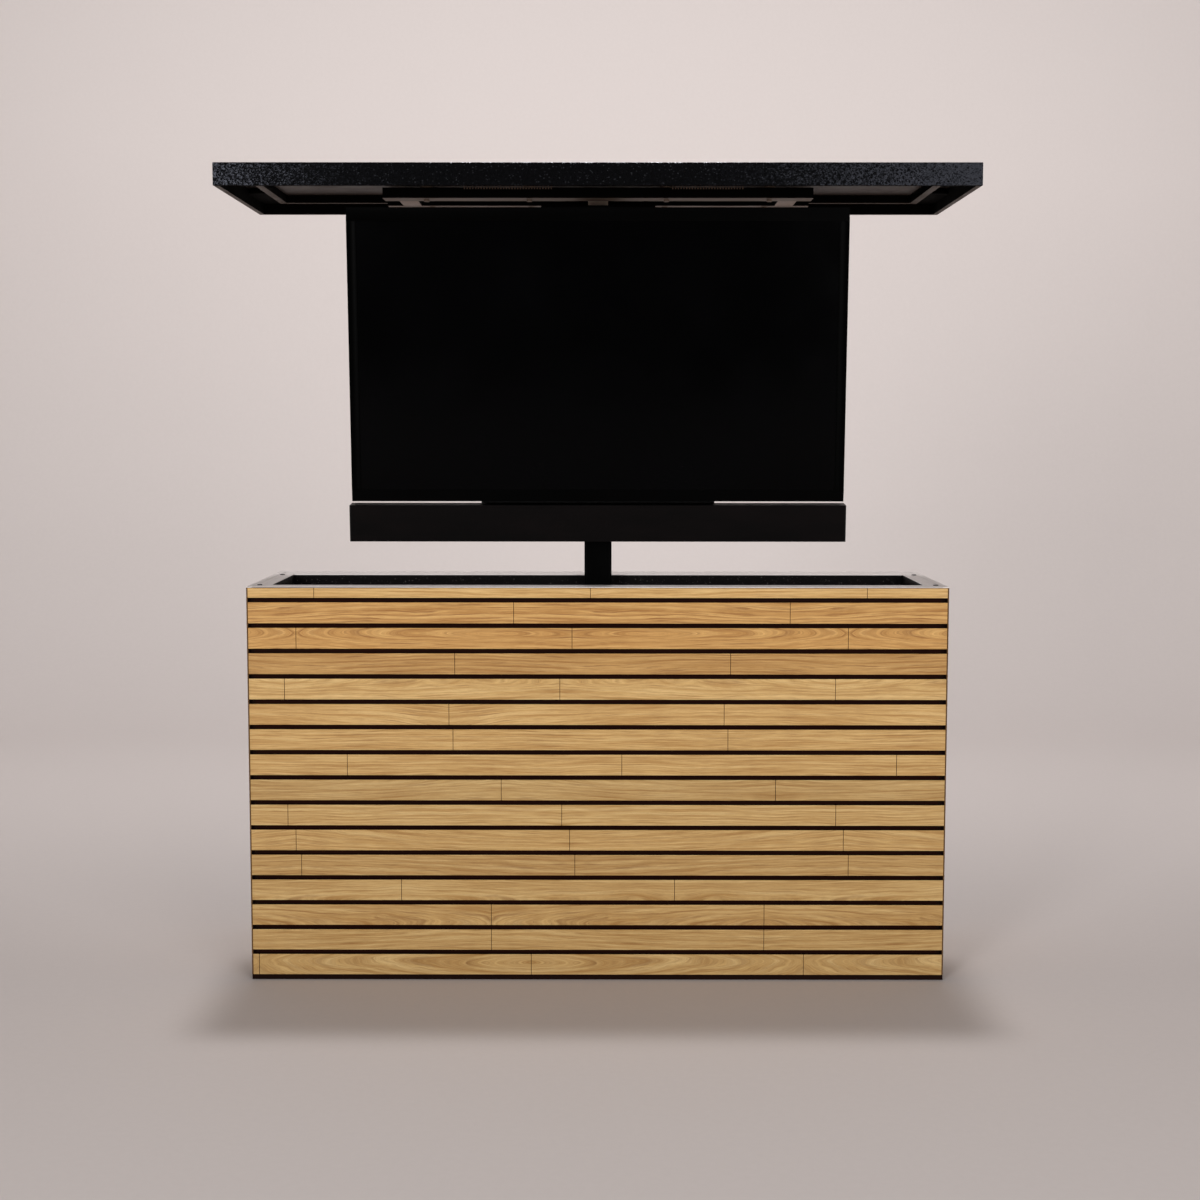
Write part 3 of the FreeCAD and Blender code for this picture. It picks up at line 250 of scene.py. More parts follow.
def oak():
    """Oiled oak: growth rings about a pith line, streaks and fibres that follow them, short dark pores.

    Each board carries its own coordinates: along it, across it and into it from its pith line.
    """
    recipe = Recipe("oak", roughness=0.52, specular=0.3)
    grain = recipe.attribute("grain")
    tone = recipe.attribute("tone", "Fac")
    shade = recipe.attribute("shade", "Fac")
    along, reach = fibre_run(recipe, grain)
    streak = recipe.noise(recipe.stretched(along, (3.6, 160.0, 1.0)), 1.0, 6.0, 0.70, 0.2)
    fleck = recipe.noise(recipe.stretched(along, (7.0, 320.0, 1.0), (3.0, 7.0, 0.0)), 1.0, 4.0, 0.65)
    fibre = recipe.noise(recipe.stretched(along, (26.0, 1300.0, 1.0)), 1.0, 3.0, 0.6)
    pores = recipe.noise(recipe.stretched(along, (110.0, 2200.0, 1.0)), 1.0, 2.0, 0.7)
    pore = recipe.remap(pores, 0.62, 0.74)
    vein_depth = recipe.remap(tone, 0.0, 1.0, 0.42, 0.80)
    vein = recipe.maths("MULTIPLY", recipe.remap(fleck, 0.54, 0.66), vein_depth)

    wood = recipe.ramp(streak, (0.36, PALE_OAK), (0.50, MID_OAK), (0.64, WARM_OAK))
    wood = recipe.mix(ring_share(recipe, grain, reach, tone), wood, DARK_OAK)
    wood = recipe.mix(vein, wood, DARK_OAK)
    wood = recipe.mix(recipe.remap(fibre, 0.40, 0.64, 0.0, 0.34), wood, DARK_OAK)
    wood = recipe.mix(recipe.maths("MULTIPLY", pore, 0.45), wood, PORE_BROWN)
    wood = recipe.mix(tone, wood, recipe.mix(1.0, wood, WARM_TINT, "MULTIPLY"))
    # Painted shade: the lower rows are darkened towards the bottom in place of falling light, and the rows of
    # darker wood a little more.
    wood = recipe.mix(shade, wood, recipe.mix(1.0, wood, PAINTED_SHADE_AND_DARK_WOOD, "MULTIPLY"))
    recipe.put("Base Color", wood)
    recipe.put("Roughness", recipe.remap(fibre, 0.3, 0.7, 0.46, 0.60))
    recipe.relief(fibre, 0.15 * MM, 0.5)
    recipe.relief(recipe.maths("SUBTRACT", 1.0, pore), 0.15 * MM, 0.5)
    return recipe.material


def oak_edge():
    """The same boards' sides and backs, in a near-black brown as painted shade, as dark as the gaps between the
    boards, with the fibres still showing.
    """
    recipe = Recipe("oak_edge", roughness=0.7, specular=0.08)
    grain = recipe.attribute("grain")
    fibre = recipe.noise(recipe.stretched(grain, (7.0, 210.0, 210.0)), 1.0, 4.0, 0.6)
    recipe.put("Base Color", recipe.ramp(fibre, (0.3, colour(24, 7, 2)), (0.7, colour(38, 13, 5))))
    recipe.relief(fibre, 0.3 * MM, 0.5)
    return recipe.material


def granite():
    """Leathered black granite: facets that each tip their own way and glint, and a few grey grains."""
    recipe = Recipe("granite", roughness=0.14, specular=0.085)
    place = recipe.place()
    facet = recipe.cells(place, 430.0, "Color")
    grain = recipe.parts(recipe.cells(place, 440.0, "Color"))
    tones = ((0.0, colour(6, 6, 6)), (0.90, colour(8, 8, 9)),
             (0.96, colour(15, 15, 17)), (1.0, colour(44, 45, 48)))
    recipe.put("Base Color", recipe.ramp(grain["Red"], *tones))
    recipe.put("Roughness", recipe.remap(grain["Green"], 0.0, 1.0, 0.06, 0.17))
    recipe.put("Specular Tint", COOL_SHINE)
    recipe.facets(facet, 0.05)
    recipe.relief(recipe.noise(place, 900.0, 2.0, 0.6), 0.04 * MM, 0.8)
    return recipe.material


def powder_coat(name, base, spot, roughness, grain=900.0, specular=0.5, tint=None):
    """Stoved powder: a fine orange-peel skin with a slight change of tone and shine."""
    recipe = Recipe(name, roughness=roughness, specular=specular)
    place = recipe.place()
    peel = recipe.noise(place, grain, 3.0, 0.6)
    cloud = recipe.noise(place, 14.0, 3.0)
    recipe.put("Base Color", recipe.mix(recipe.remap(peel, 0.45, 0.75, 0.0, 0.8),
                                        recipe.mix(cloud, base, spot), spot))
    recipe.put("Roughness", recipe.remap(cloud, 0.3, 0.7, roughness - 0.06, roughness + 0.08))
    recipe.relief(peel, 0.12 * MM, 0.7)
    if tint:
        recipe.put("Specular Tint", tint)
    return recipe.material


def gritty_black():
    """The cabinet's frame: black with a coarse granular coat and sparse grey grains."""
    recipe = Recipe("gritty_black", roughness=0.6, specular=0.06)
    place = recipe.place()
    grit = recipe.parts(recipe.cells(place, 520.0, "Color"))
    tones = ((0.0, colour(7, 5, 5)), (0.90, colour(12, 9, 8)),
             (0.98, colour(34, 30, 28)), (1.0, colour(90, 85, 82)))
    recipe.put("Base Color", recipe.ramp(grit["Red"], *tones))
    recipe.relief(recipe.noise(place, 480.0, 4.0, 0.7), 0.6 * MM, 0.7)
    return recipe.material


def satin_sheet(name, base, shade, roughness, along, metallic=1.0, specular=0.5):
    """Anodised or brushed sheet: soft clouds, and fine lines that run where the stretch is small."""
    recipe = Recipe(name, roughness=roughness, metallic=metallic, specular=specular)
    place = recipe.place()
    lines = recipe.noise(recipe.stretched(place, along), 1.0, 4.0, 0.6)
    cloud = recipe.noise(place, 9.0, 3.0)
    tone = recipe.mix(recipe.remap(lines, 0.3, 0.7, 0.0, 0.6), base, shade)
    recipe.put("Base Color", recipe.mix(recipe.remap(cloud, 0.35, 0.65, 0.0, 0.35), tone, shade))
    recipe.put("Roughness", recipe.remap(lines, 0.3, 0.7, roughness - 0.05, roughness + 0.07))
    recipe.relief(lines, 0.04 * MM, 0.5)
    return recipe.material


def compact_board(name, base, spot, specular=0.25):
    """Board with a fine structured face, in which pale fibres barely show."""
    recipe = Recipe(name, roughness=0.55, specular=specular)
    place = recipe.place()
    pebble = recipe.cells(place, 700.0)
    fibre = recipe.noise(recipe.stretched(place, (240.0, 240.0, 900.0)), 1.0, 3.0, 0.6)
    cloud = recipe.noise(place, 7.0, 4.0)
    tone = recipe.mix(recipe.remap(cloud, 0.3, 0.7), base, spot)
    recipe.put("Base Color", recipe.mix(recipe.remap(fibre, 0.55, 0.8, 0.0, 0.5), tone, spot))
    recipe.put("Roughness", recipe.remap(cloud, 0.3, 0.7, 0.50, 0.62))
    recipe.relief(pebble, 0.2 * MM, 0.6)
    return recipe.material


def moulded(name, base, spot, roughness, specular=0.4, grain=1300.0):
    """Moulded plastic or rubber with a fine spark-eroded grain."""
    recipe = Recipe(name, roughness=roughness, specular=specular)
    place = recipe.place()
    spark = recipe.noise(place, grain, 3.0, 0.65)
    cloud = recipe.noise(place, 11.0, 2.0)
    recipe.put("Base Color", recipe.mix(recipe.remap(spark, 0.4, 0.7, 0.0, 0.5),
                                        recipe.mix(cloud, base, spot), spot))
    recipe.put("Roughness", recipe.remap(spark, 0.3, 0.7, roughness - 0.05, roughness + 0.08))
    recipe.relief(spark, 0.08 * MM, 0.6)
    return recipe.material


def machined(name, base, shade, roughness=0.3):
    """Bright turned or zinc-plated metal with faint tool marks and stains."""
    recipe = Recipe(name, roughness=roughness, metallic=1.0)
    place = recipe.place()
    marks = recipe.noise(recipe.stretched(place, (60.0, 60.0, 1800.0)), 1.0, 3.0, 0.6)
    stain = recipe.noise(place, 45.0, 5.0, 0.65)
    recipe.put("Base Color", recipe.mix(recipe.remap(stain, 0.4, 0.7, 0.0, 0.7), base, shade))
    recipe.put("Roughness", recipe.remap(stain, 0.35, 0.7, roughness - 0.06, roughness + 0.14))
    recipe.relief(marks, 0.03 * MM, 0.5)
    return recipe.material


def dark_glass():
    """The television's front: coated glass that gives back little light, its coat faintly clouded."""
    recipe = Recipe("dark_glass", roughness=0.12, specular=0.03)
    cloud = recipe.noise(recipe.place(), 5.0, 2.0)
    recipe.put("Base Color", recipe.mix(cloud, colour(1, 1, 1), colour(3, 3, 4)))
    recipe.put("Roughness", recipe.remap(cloud, 0.3, 0.7, 0.10, 0.17))
    return recipe.material


def speaker_cloth():
    """Black acoustic cloth: a plain weave over a dark ground."""
    recipe = Recipe("speaker_cloth", roughness=0.85, specular=0.08)
    place = recipe.place()
    thread_pitch = 0.8 * MM
    turn = 2 * math.pi / thread_pitch
    weave = []
    for scale in ((turn, 0.0, 0.0), (0.0, 0.0, turn)):
        run = recipe.add("ShaderNodeVectorMath", operation="DOT_PRODUCT")
        recipe.feed(run.inputs[0], place)
        run.inputs[1].default_value = scale
        weave.append(recipe.maths("SINE", run.outputs["Value"]))
    cross = recipe.maths("MULTIPLY", weave[0], weave[1])
    cloud = recipe.noise(recipe.stretched(place, (5.0, 5.0, 22.0)), 1.0, 3.0)
    tone = recipe.mix(recipe.remap(cross, -1.0, 1.0), colour(5, 4, 4), colour(15, 13, 13))
    dust = recipe.remap(cloud, 0.35, 0.7, 0.0, 0.5)
    recipe.put("Base Color", recipe.mix(dust, tone, colour(20, 15, 15)))
    recipe.relief(cross, 0.25 * MM, 0.8)
    return recipe.material


MATERIALS = {
    "oak": oak(),
    "backing": compact_board("dark_board", colour(26, 7, 2), colour(33, 10, 4), 0.03),
    "frame": gritty_black(),
    "rim": satin_sheet("rim_sheet", colour(243, 236, 233), colour(228, 221, 218), 0.42,
                       (260.0, 4.0, 260.0), metallic=0.25),
    "trim": powder_coat("trim_coat", colour(20, 8, 5), colour(28, 13, 9), 0.6, specular=0.03),
    "rear": compact_board("rear_board", colour(24, 23, 23), colour(36, 35, 34)),
    "rubber": moulded("rubber", colour(20, 20, 20), colour(34, 33, 32), 0.75, 0.3, 700.0),
    "column": powder_coat("column_coat", colour(1, 1, 1), colour(3, 3, 3), 0.36, specular=0.02),
    "glide": moulded("glide", colour(214, 212, 203), colour(196, 193, 182), 0.4),
    "steel": machined("zinc_steel", colour(176, 178, 182), colour(148, 150, 152)),
    "dark_steel": machined("black_oxide", colour(34, 32, 31), colour(24, 22, 21), 0.38),
    "bronze": machined("bronze", colour(176, 134, 74), colour(140, 100, 52), 0.34),
    "drive": powder_coat("drive_paint", colour(52, 53, 56), colour(66, 67, 70), 0.4, 600.0),
    "control": moulded("control_plastic", colour(34, 34, 35), colour(46, 46, 47), 0.5),
    "stone": granite(),
    "liner": powder_coat("liner_sheet", colour(50, 42, 38), colour(62, 53, 49), 0.46, 500.0,
                         specular=0.10, tint=WARM_SHINE),
    # The seal's brown is painted reflection of the warm floor on its undersides.
    "seal": powder_coat("seal_underside_reflection", colour(62, 52, 45), colour(78, 67, 59), 0.50, 800.0,
                        specular=0.08, tint=WARM_SHINE),
    "bracket": powder_coat("bracket_coat", colour(13, 12, 11), colour(20, 18, 17), 0.40, 800.0,
                           specular=0.3),
    "tv_plastic": moulded("tv_plastic", colour(1, 1, 1), colour(3, 3, 3), 0.34, 0.012),
    "tv_metal": satin_sheet("tv_sheet", colour(24, 24, 25), colour(18, 18, 19), 0.42,
                            (3.0, 300.0, 300.0), metallic=0.0, specular=0.3),
    "screen": dark_glass(),
    "speaker": moulded("speaker_case", colour(8, 7, 7), colour(12, 10, 10), 0.42, 0.10),
    "door_metal": satin_sheet("stainless", colour(180, 180, 181), colour(156, 156, 157), 0.3,
                              (300.0, 300.0, 4.0)),
}
# Painted shade for the boards' sides and backs.
OAK_EDGE_SHADE = oak_edge()
SPEAKER_CLOTH = speaker_cloth()
# Flat black: the colour of some black parts, and painted shade on faces that the lid and its bracket keep in
# shade.
FLAT_BLACK_AND_SHADE = powder_coat("flat_black_and_shade", colour(5, 4, 3), colour(9, 7, 6), 0.85, 600.0, specular=0.02)
TRIM_EDGE = powder_coat("trim_edge", colour(86, 62, 39), colour(100, 74, 48), 0.6, specular=0.03)
# Painted reflection for the undersides under the lid: brown like the warm floor that their black coat reflects at
# a grazing angle. A coarse grain makes the last two patchy, and the pale one is also painted light on the centre
# arm, which the spine keeps in shade.
UNDERSIDE_REFLECTION_BROWN = powder_coat("underside_reflection_brown", colour(100, 83, 71), colour(122, 104, 91), 0.55, 800.0,
                           specular=0.10)
PATCHY_UNDERSIDE_REFLECTION = powder_coat("patchy_underside_reflection", colour(112, 94, 81), colour(156, 134, 117), 0.5, 90.0,
                          specular=0.15)
PALE_PAINTED_LIGHT = powder_coat("pale_painted_light", colour(214, 190, 170), colour(236, 214, 194), 0.5, 90.0,
                          specular=0.15)


def paint_nodes():
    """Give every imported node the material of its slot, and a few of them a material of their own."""
    for name, piece in NODES.items():
        piece.data.materials.clear()
        piece.data.materials.append(MATERIALS[SLOT_OF[name]])
    # Cloth on the grille; painted reflection in brown on the spacers and the bolts under the lid; flat black on
    # the gussets, and painted shade in flat black on the head plate.
    own_materials = {"soundbar_grille": SPEAKER_CLOTH, "lid_spacers": PATCHY_UNDERSIDE_REFLECTION,
                 "lid_bolts": UNDERSIDE_REFLECTION_BROWN, "lid_gussets": FLAT_BLACK_AND_SHADE, "head_plate": FLAT_BLACK_AND_SHADE}
    for name, coat in own_materials.items():
        NODES[name].data.materials[0] = coat


def paint_faces(name, material, chosen):
    """Give the chosen faces of a node another material."""
    data = NODES[name].data
    data.materials.append(material)
    for face in data.polygons:
        if chosen(face):
            face.material_index = len(data.materials) - 1


def looks_down(face):
    """Whether a face is an underside."""
    return face.normal.z < -0.9


def looks_sideways(face):
    """Whether a face stands upright."""
    return abs(face.normal.z) < 0.5


def paint_lid():
    """Paint painted shade in flat black on the faces that the lid shades, and painted reflection in brown on the
    undersides of its frame and its bracket, in place of the warm floor that their black coat reflects.
    """
    low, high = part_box("lid_liner")

    def within(face):
        """Whether a face lies within the lining's outline, to a millimetre."""
        return all(a - MM < c < b + MM for a, c, b in zip(low[:2], face.center[:2], high[:2]))

    paint_faces("lid_aprons", FLAT_BLACK_AND_SHADE, lambda face: looks_sideways(face) and within(face))
    # Painted shade on the aprons' front undersides, and painted reflection in the seal's brown on their rear
    # undersides.
    paint_faces("lid_aprons", FLAT_BLACK_AND_SHADE, lambda face: looks_down(face) and face.center.y < low[1])
    paint_faces("lid_aprons", MATERIALS["seal"],
                lambda face: looks_down(face) and face.center.y > low[1])
    # Painted shade on the seal frame's upright faces.
    paint_faces("seal_frame", FLAT_BLACK_AND_SHADE, looks_sideways)
    for name in ("lid_front_beam", "lid_rear_beam", "lid_arms"):
        # Painted shade on the faces that look forward and up, painted reflection on the undersides.
        paint_faces(name, FLAT_BLACK_AND_SHADE, lambda face: not looks_down(face))
        paint_faces(name, UNDERSIDE_REFLECTION_BROWN, looks_down)
    # The arms' undersides: patchy painted reflection on the side arms, and pale painted light on the centre arm,
    # which the spine and the head plate keep in shade.
    centre_arm = 100 * MM
    paint_faces("lid_arms", PATCHY_UNDERSIDE_REFLECTION,
                lambda face: looks_down(face) and abs(face.center.x) > centre_arm)
    paint_faces("lid_arms", PALE_PAINTED_LIGHT,
                lambda face: looks_down(face) and abs(face.center.x) < centre_arm)


def paint_front():
    """Match the looks of what meets at the front.

    The television's front and sides are black, and only its back looks like sheet metal.  The corner
    trims' foremost edges are brown, and the frame right behind the boards looks like their backing.
    """
    paint_faces("tv_housing", MATERIALS["tv_plastic"], lambda face: face.normal.y < 0.5)
    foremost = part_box("edge_trims")[0][1] + MM
    paint_faces("edge_trims", TRIM_EDGE, lambda face: face.normal.y < -0.9 and face.center.y < foremost)
    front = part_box("front_board")[0][1] + MM
    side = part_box("rim_frame")[1][0] - MM
    for name in ("rim_frame", "corner_posts", "base_frame"):
        paint_faces(name, MATERIALS["backing"],
                    lambda face: face.center.y < front or abs(face.center.x) > side)


# ---------------------------------------------------------------- softened edges

# How far each node's sharp edges are rounded, in millimetres.
EASED_EDGES = {
    0.3: ("rim_cap", "edge_trims", "hinge_door_leaves", "hinge_frame_leaves", "lid_gussets"),
    0.5: ("soundbar_case",),
    0.6: ("rear_panels", "access_door", "tilt_base", "tilt_yoke", "soundbar_bracket", "soundbar_grille",
          "seal_frame", "tv_bezel"),
    1.0: ("base_frame", "corner_posts", "rim_frame", "rear_stiles", "head_plate", "foot_plate",
          "door_pull", "vesa_frame", "hanger_block", "tv_spine", "floor_pads", "tv_housing"),
    1.6: ("lid_front_beam", "lid_rear_beam", "lid_arms", "column_rail", "drive_unit", "drive_nut"),
    3.0: ("control_box",),
}


def ease(name, width):
    """Round a node's sharp edges with modifiers, which leave its own mesh as it is."""
    piece = NODES[name]
    weld = piece.modifiers.new("weld", "WELD")
    weld.merge_threshold = 0.01 * MM
    flatten = piece.modifiers.new("flatten", "DECIMATE")
    flatten.decimate_type = "DISSOLVE"
    flatten.angle_limit = math.radians(0.5)
    bevel = piece.modifiers.new("ease", "BEVEL")
    bevel.width = width
    bevel.segments = 2
    bevel.limit_method = "ANGLE"
    bevel.angle_limit = math.radians(40)
    piece.modifiers.new("normals", "WEIGHTED_NORMAL")


def ease_nodes():
    """Soften the edges of every node that the table above names."""
    for width, names in EASED_EDGES.items():
        for name in names:
            ease(name, width * MM)


# ---------------------------------------------------------------- pieces

def in_mm(*points):
    """Points given in millimetres, carried over to metres."""
    return [tuple(value * MM for value in point) for point in points]


def piece_from(name, mesh, materials, body):
    """Make an object of a finished bmesh and let it ride on a body."""
    data = bpy.data.meshes.new(name)
    mesh.to_mesh(data)
    mesh.free()
    for material in materials:
        data.materials.append(material)
    made = bpy.data.objects.new(name, data)
    bpy.context.scene.collection.objects.link(made)
    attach(made, body)
    return made


def add_block(mesh, low, high, radius, segments=2):
    """A block between two corners with all its edges rounded; returns its new faces."""
    before = set(mesh.faces)
    size = [b - a for a, b in zip(low, high)]
    middle = [(a + b) / 2 for a, b in zip(low, high)]
    matrix = Matrix.Translation(middle) @ Matrix.Diagonal((*size, 1.0))
    made = bmesh.ops.create_cube(mesh, size=1.0, matrix=matrix)
    edges = list({edge for vert in made["verts"] for edge in vert.link_edges})
    bmesh.ops.bevel(mesh, geom=edges, offset=radius, segments=segments, profile=0.5, affect="EDGES")
    return [face for face in mesh.faces if face not in before]


def turned(mesh, centre, axis, outline, steps=24):
    """A turned solid: an outline of (radius, height) points spun about an axis through a point."""
    axis = Vector(axis).normalized()
    side = axis.orthogonal().normalized()
    other = axis.cross(side)
    rings = []
    for radius, height in outline:
        ring = []
        for step in range(steps):
            angle = 2 * math.pi * step / steps
            outward = side * math.cos(angle) + other * math.sin(angle)
            ring.append(mesh.verts.new(Vector(centre) + axis * height + outward * radius))
        rings.append(ring)
    for lower, upper in zip(rings, rings[1:]):
        for step in range(steps):
            after = (step + 1) % steps
            face = mesh.faces.new((lower[step], lower[after], upper[after], upper[step]))
            face.smooth = True
    mesh.faces.new(list(reversed(rings[0])))
    mesh.faces.new(rings[-1])


def screw_outline(radius, height, socket):
    """A rounded head with a socket sunk in it, from its seat upwards."""
    return ((radius, 0.0), (radius, 0.45 * height), (0.92 * radius, 0.78 * height),
            (0.72 * radius, height), (socket, height), (socket, 0.35 * height))


def add_screws(name, places, axis, radius, height, body, slot="steel"):
    """Socket screws with rounded heads at several places."""
    mesh = bmesh.new()
    for place in places:
        turned(mesh, place, axis, screw_outline(radius, height, 0.5 * radius), 16)
    piece_from(name, mesh, [MATERIALS[slot]], body)


def square_ring(mesh, centre, outer, inner, height):
    """A flat square collar that stands on a point, with its outer upper edge rounded."""
    outline = ((inner, 0.0), (outer, 0.0), (outer, 0.6 * height), (0.97 * outer, height),
               (inner, height))
    corners = ((-1, -1), (1, -1), (1, 1), (-1, 1))
    loops = [[mesh.verts.new(Vector(centre) + Vector((x * reach, y * reach, level)))
              for x, y in corners] for reach, level in outline]
    for first, second in zip(loops, loops[1:] + loops[:1]):
        for index in range(4):
            after = (index + 1) % 4
            mesh.faces.new((first[index], first[after], second[after], second[index]))


def hexagon_ring(mesh, centre, inner, corner, height):
    """A nut about the Y axis: a round hole in a hexagon that reaches from a point towards +Y."""
    steps = 48
    half_side = math.pi / 6
    loops = [[], [], [], []]
    for step in range(steps):
        angle = 2 * math.pi * step / steps
        flat = corner * math.cos(half_side) / math.cos(angle % (2 * half_side) - half_side)
        outline = ((inner, 0.0), (flat, 0.0), (0.96 * flat, height), (inner, height))
        for loop, (reach, level) in zip(loops, outline):
            point = Vector((reach * math.cos(angle), level, reach * math.sin(angle)))
            loop.append(mesh.verts.new(Vector(centre) + point))
    for first, second in zip(loops, loops[1:] + loops[:1]):
        for index in range(steps):
            after = (index + 1) % steps
            mesh.faces.new((first[index], second[index], second[after], first[after]))


# ---------------------------------------------------------------- small fittings

def rim_buffers():
    """Rubber discs near the rim's corners, which the closed lid comes to rest just above."""
    low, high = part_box("rim_cap")
    side_inset, front_inset, rear_inset = 22 * MM, 51 * MM, 118 * MM
    disc = in_mm((6, 0), (6, 1.1), (5.2, 1.6))
    mesh = bmesh.new()
    for side in (-1, 1):
        for depth in (low[1] + front_inset, high[1] - rear_inset):
            turned(mesh, (side * (high[0] - side_inset), depth, high[2]), (0, 0, 1), disc)
    piece_from("rim_buffers", mesh, [MATERIALS["rubber"]], "cabinet")


# How high above the floor the rear's screws sit on the posts and on the stiles, in millimetres.
POST_SCREW_HEIGHTS = (130, 310, 490, 670, 820)
STILE_SCREW_HEIGHTS = (120, 340, 540, 760)


def rear_screws():
    """Screws that hold the rear panels to the posts, to the stiles beside the door and to the rails."""
    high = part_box("rear_panels")[1]
    face = high[1]
    post = high[0] - 31 * MM
    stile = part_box("rear_stiles")[1][0] - 10 * MM
    lower_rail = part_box("base_frame")[0][2] + 20 * MM
    upper_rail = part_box("rim_frame")[0][2] + 19 * MM
    each_side = 4
    places = [(side * post, face, height * MM) for side in (-1, 1) for height in POST_SCREW_HEIGHTS]
    places += [(side * stile, face, height * MM) for side in (-1, 1) for height in STILE_SCREW_HEIGHTS]
    places += [(number * post / each_side, face, level) for number in range(-each_side, each_side + 1)
               for level in (lower_rail, upper_rail)]
    add_screws("rear_screws", places, (0, 1, 0), 4.5 * MM, 2.2 * MM, "cabinet", "dark_steel")


def hinge_screws():
    """Flat screws in both leaves of the two hinges."""
    low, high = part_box("hinge_frame_leaves")
    leaf_height, leaf_thickness, end_inset, side_inset = 60 * MM, 2 * MM, 10 * MM, 13 * MM
    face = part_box("rear_panels")[1][1] + leaf_thickness
    heights = (low[2] + end_inset, low[2] + leaf_height - end_inset,
               high[2] - end_inset, high[2] - leaf_height + end_inset)
    frame_side = high[0] - side_inset
    door_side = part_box("hinge_door_leaves")[0][0] + side_inset
    for name, across, body in (("hinge_frame_screws", frame_side, "cabinet"),
                               ("hinge_door_screws", door_side, "access_door")):
        places = [(across, face, height) for height in heights]
        add_screws(name, places, (0, 1, 0), 3.2 * MM, 1.3 * MM, body)


def door_lock():
    """A quarter-turn lock above the door's pull, with a raised bar to turn it by."""
    low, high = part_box("door_pull")
    rise = 40 * MM
    centre = Vector(((low[0] + high[0]) / 2, low[1], high[2] + rise))
    mesh = bmesh.new()
    outline = in_mm((11, 0), (11, 1.6), (10, 2.4), (8.2, 2.4), (8.2, 1.8), (7.6, 1.8), (7.6, 3.0))
    turned(mesh, centre, (0, 1, 0), outline, 40)
    half_bar = Vector((0.9 * MM, 0.3 * MM, 5.0 * MM))
    bar_centre = centre + Vector((0, 3.2 * MM, 0))
    add_block(mesh, bar_centre - half_bar, bar_centre + half_bar, 0.25 * MM)
    piece_from("door_lock", mesh, [MATERIALS["door_metal"]], "access_door")


def gland_nut():
    """The hexagonal nut around the cable gland; its bore stays open."""
    low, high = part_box("cable_gland")
    centre = ((low[0] + high[0]) / 2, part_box("rear_panels")[1][1], (low[2] + high[2]) / 2)
    bore_radius, corner_radius, height = 15.1 * MM, 19.5 * MM, 6 * MM
    mesh = bmesh.new()
    hexagon_ring(mesh, centre, bore_radius, corner_radius, height)
    piece_from("gland_nut", mesh, [MATERIALS["control"]], "cabinet")


def column_wipers():
    """Collars on the two lower tubes that wipe the tube sliding inside each."""
    clearance, height = 0.5 * MM, 4 * MM
    for name, tube, inside, body in (("outer_wiper", "outer_tube", "middle_tube", "cabinet"),
                                     ("middle_wiper", "middle_tube", "inner_tube", "lift_middle")):
        low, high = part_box(tube)
        centre = ((low[0] + high[0]) / 2, (low[1] + high[1]) / 2, high[2])
        mesh = bmesh.new()
        square_ring(mesh, centre, high[0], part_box(inside)[1][0] + clearance, height)
        piece_from(name, mesh, [MATERIALS["rubber"]], body)


def beam_combs():
    """Two toothed strips along the front beam's upper edge, which grip the edge of the lid's lining."""
    low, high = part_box("lid_front_beam")
    pitch, tooth, thick, ease_radius = 6.5 * MM, 2.8 * MM, 1.6 * MM, 0.2 * MM
    front, back = low[1] - thick, low[1]
    foot, root, tip = high[2] - 6 * MM, high[2] - 4 * MM, high[2] + 3 * MM
    mesh = bmesh.new()
    for start, end in in_mm((-311, -97), (172, 341)):
        for face in add_block(mesh, (start, front, foot), (end, back, root), ease_radius, 1):
            face.material_index = 1
        for number in range(int((end - start) / pitch)):
            left = start + number * pitch
            add_block(mesh, (left, front, root), (left + tooth, back, tip), ease_radius, 1)
    # The teeth take the brown painted reflection of the bracket's undersides, and the strip takes the flat black.
    piece_from("beam_combs", mesh, [UNDERSIDE_REFLECTION_BROWN, FLAT_BLACK_AND_SHADE], "lift_head")


def head_bolts():
    """Bolts up through the head plate."""
    low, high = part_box("head_plate")
    side_inset, front_inset, rear_inset = 27 * MM, 13 * MM, 12 * MM
    places = [(side * (high[0] - side_inset), depth, low[2]) for side in (-1, 1)
              for depth in (low[1] + front_inset, high[1] - rear_inset)]
    add_screws("head_bolts", places, (0, 0, -1), 7 * MM, 6 * MM, "lift_head", "dark_steel")


def tilt_base_bolts():
    """Bolts that hold the tilt base to the spine."""
    low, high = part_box("tilt_base")
    side_inset, end_inset, sunk = 12 * MM, 11 * MM, 4 * MM
    places = [(side * (high[0] - side_inset), high[1] - sunk, height) for side in (-1, 1)
              for height in (low[2] + end_inset, high[2] - end_inset)]
    add_screws("tilt_base_bolts", places, (0, -1, 0), 6 * MM, 5 * MM, "lift_head", "dark_steel")


# The television's back and the soundbar's, drawn upright about the tilt pivot, in millimetres.
TV_BACK, TV_HALF_WIDTH, TV_BOTTOM, TV_TOP = -34, 574, -328, 346
COVER_SIDES, COVER_ENDS, COVER_THICKNESS = (270, 500), (-250, -70), 2
SOUNDBAR_BACK, SOUNDBAR_MIDDLE = -76, -378
# How far a raised piece reaches into the surface that carries it.
ROOT = 1


def lean_back(mesh):
    """Carry a mesh drawn upright about the tilt pivot over to the leaning television."""
    matrix = Matrix.Translation(TILT_PIVOT) @ Matrix.Rotation(TV_LEAN, 4, "X")
    bmesh.ops.transform(mesh, matrix=matrix, verts=mesh.verts)


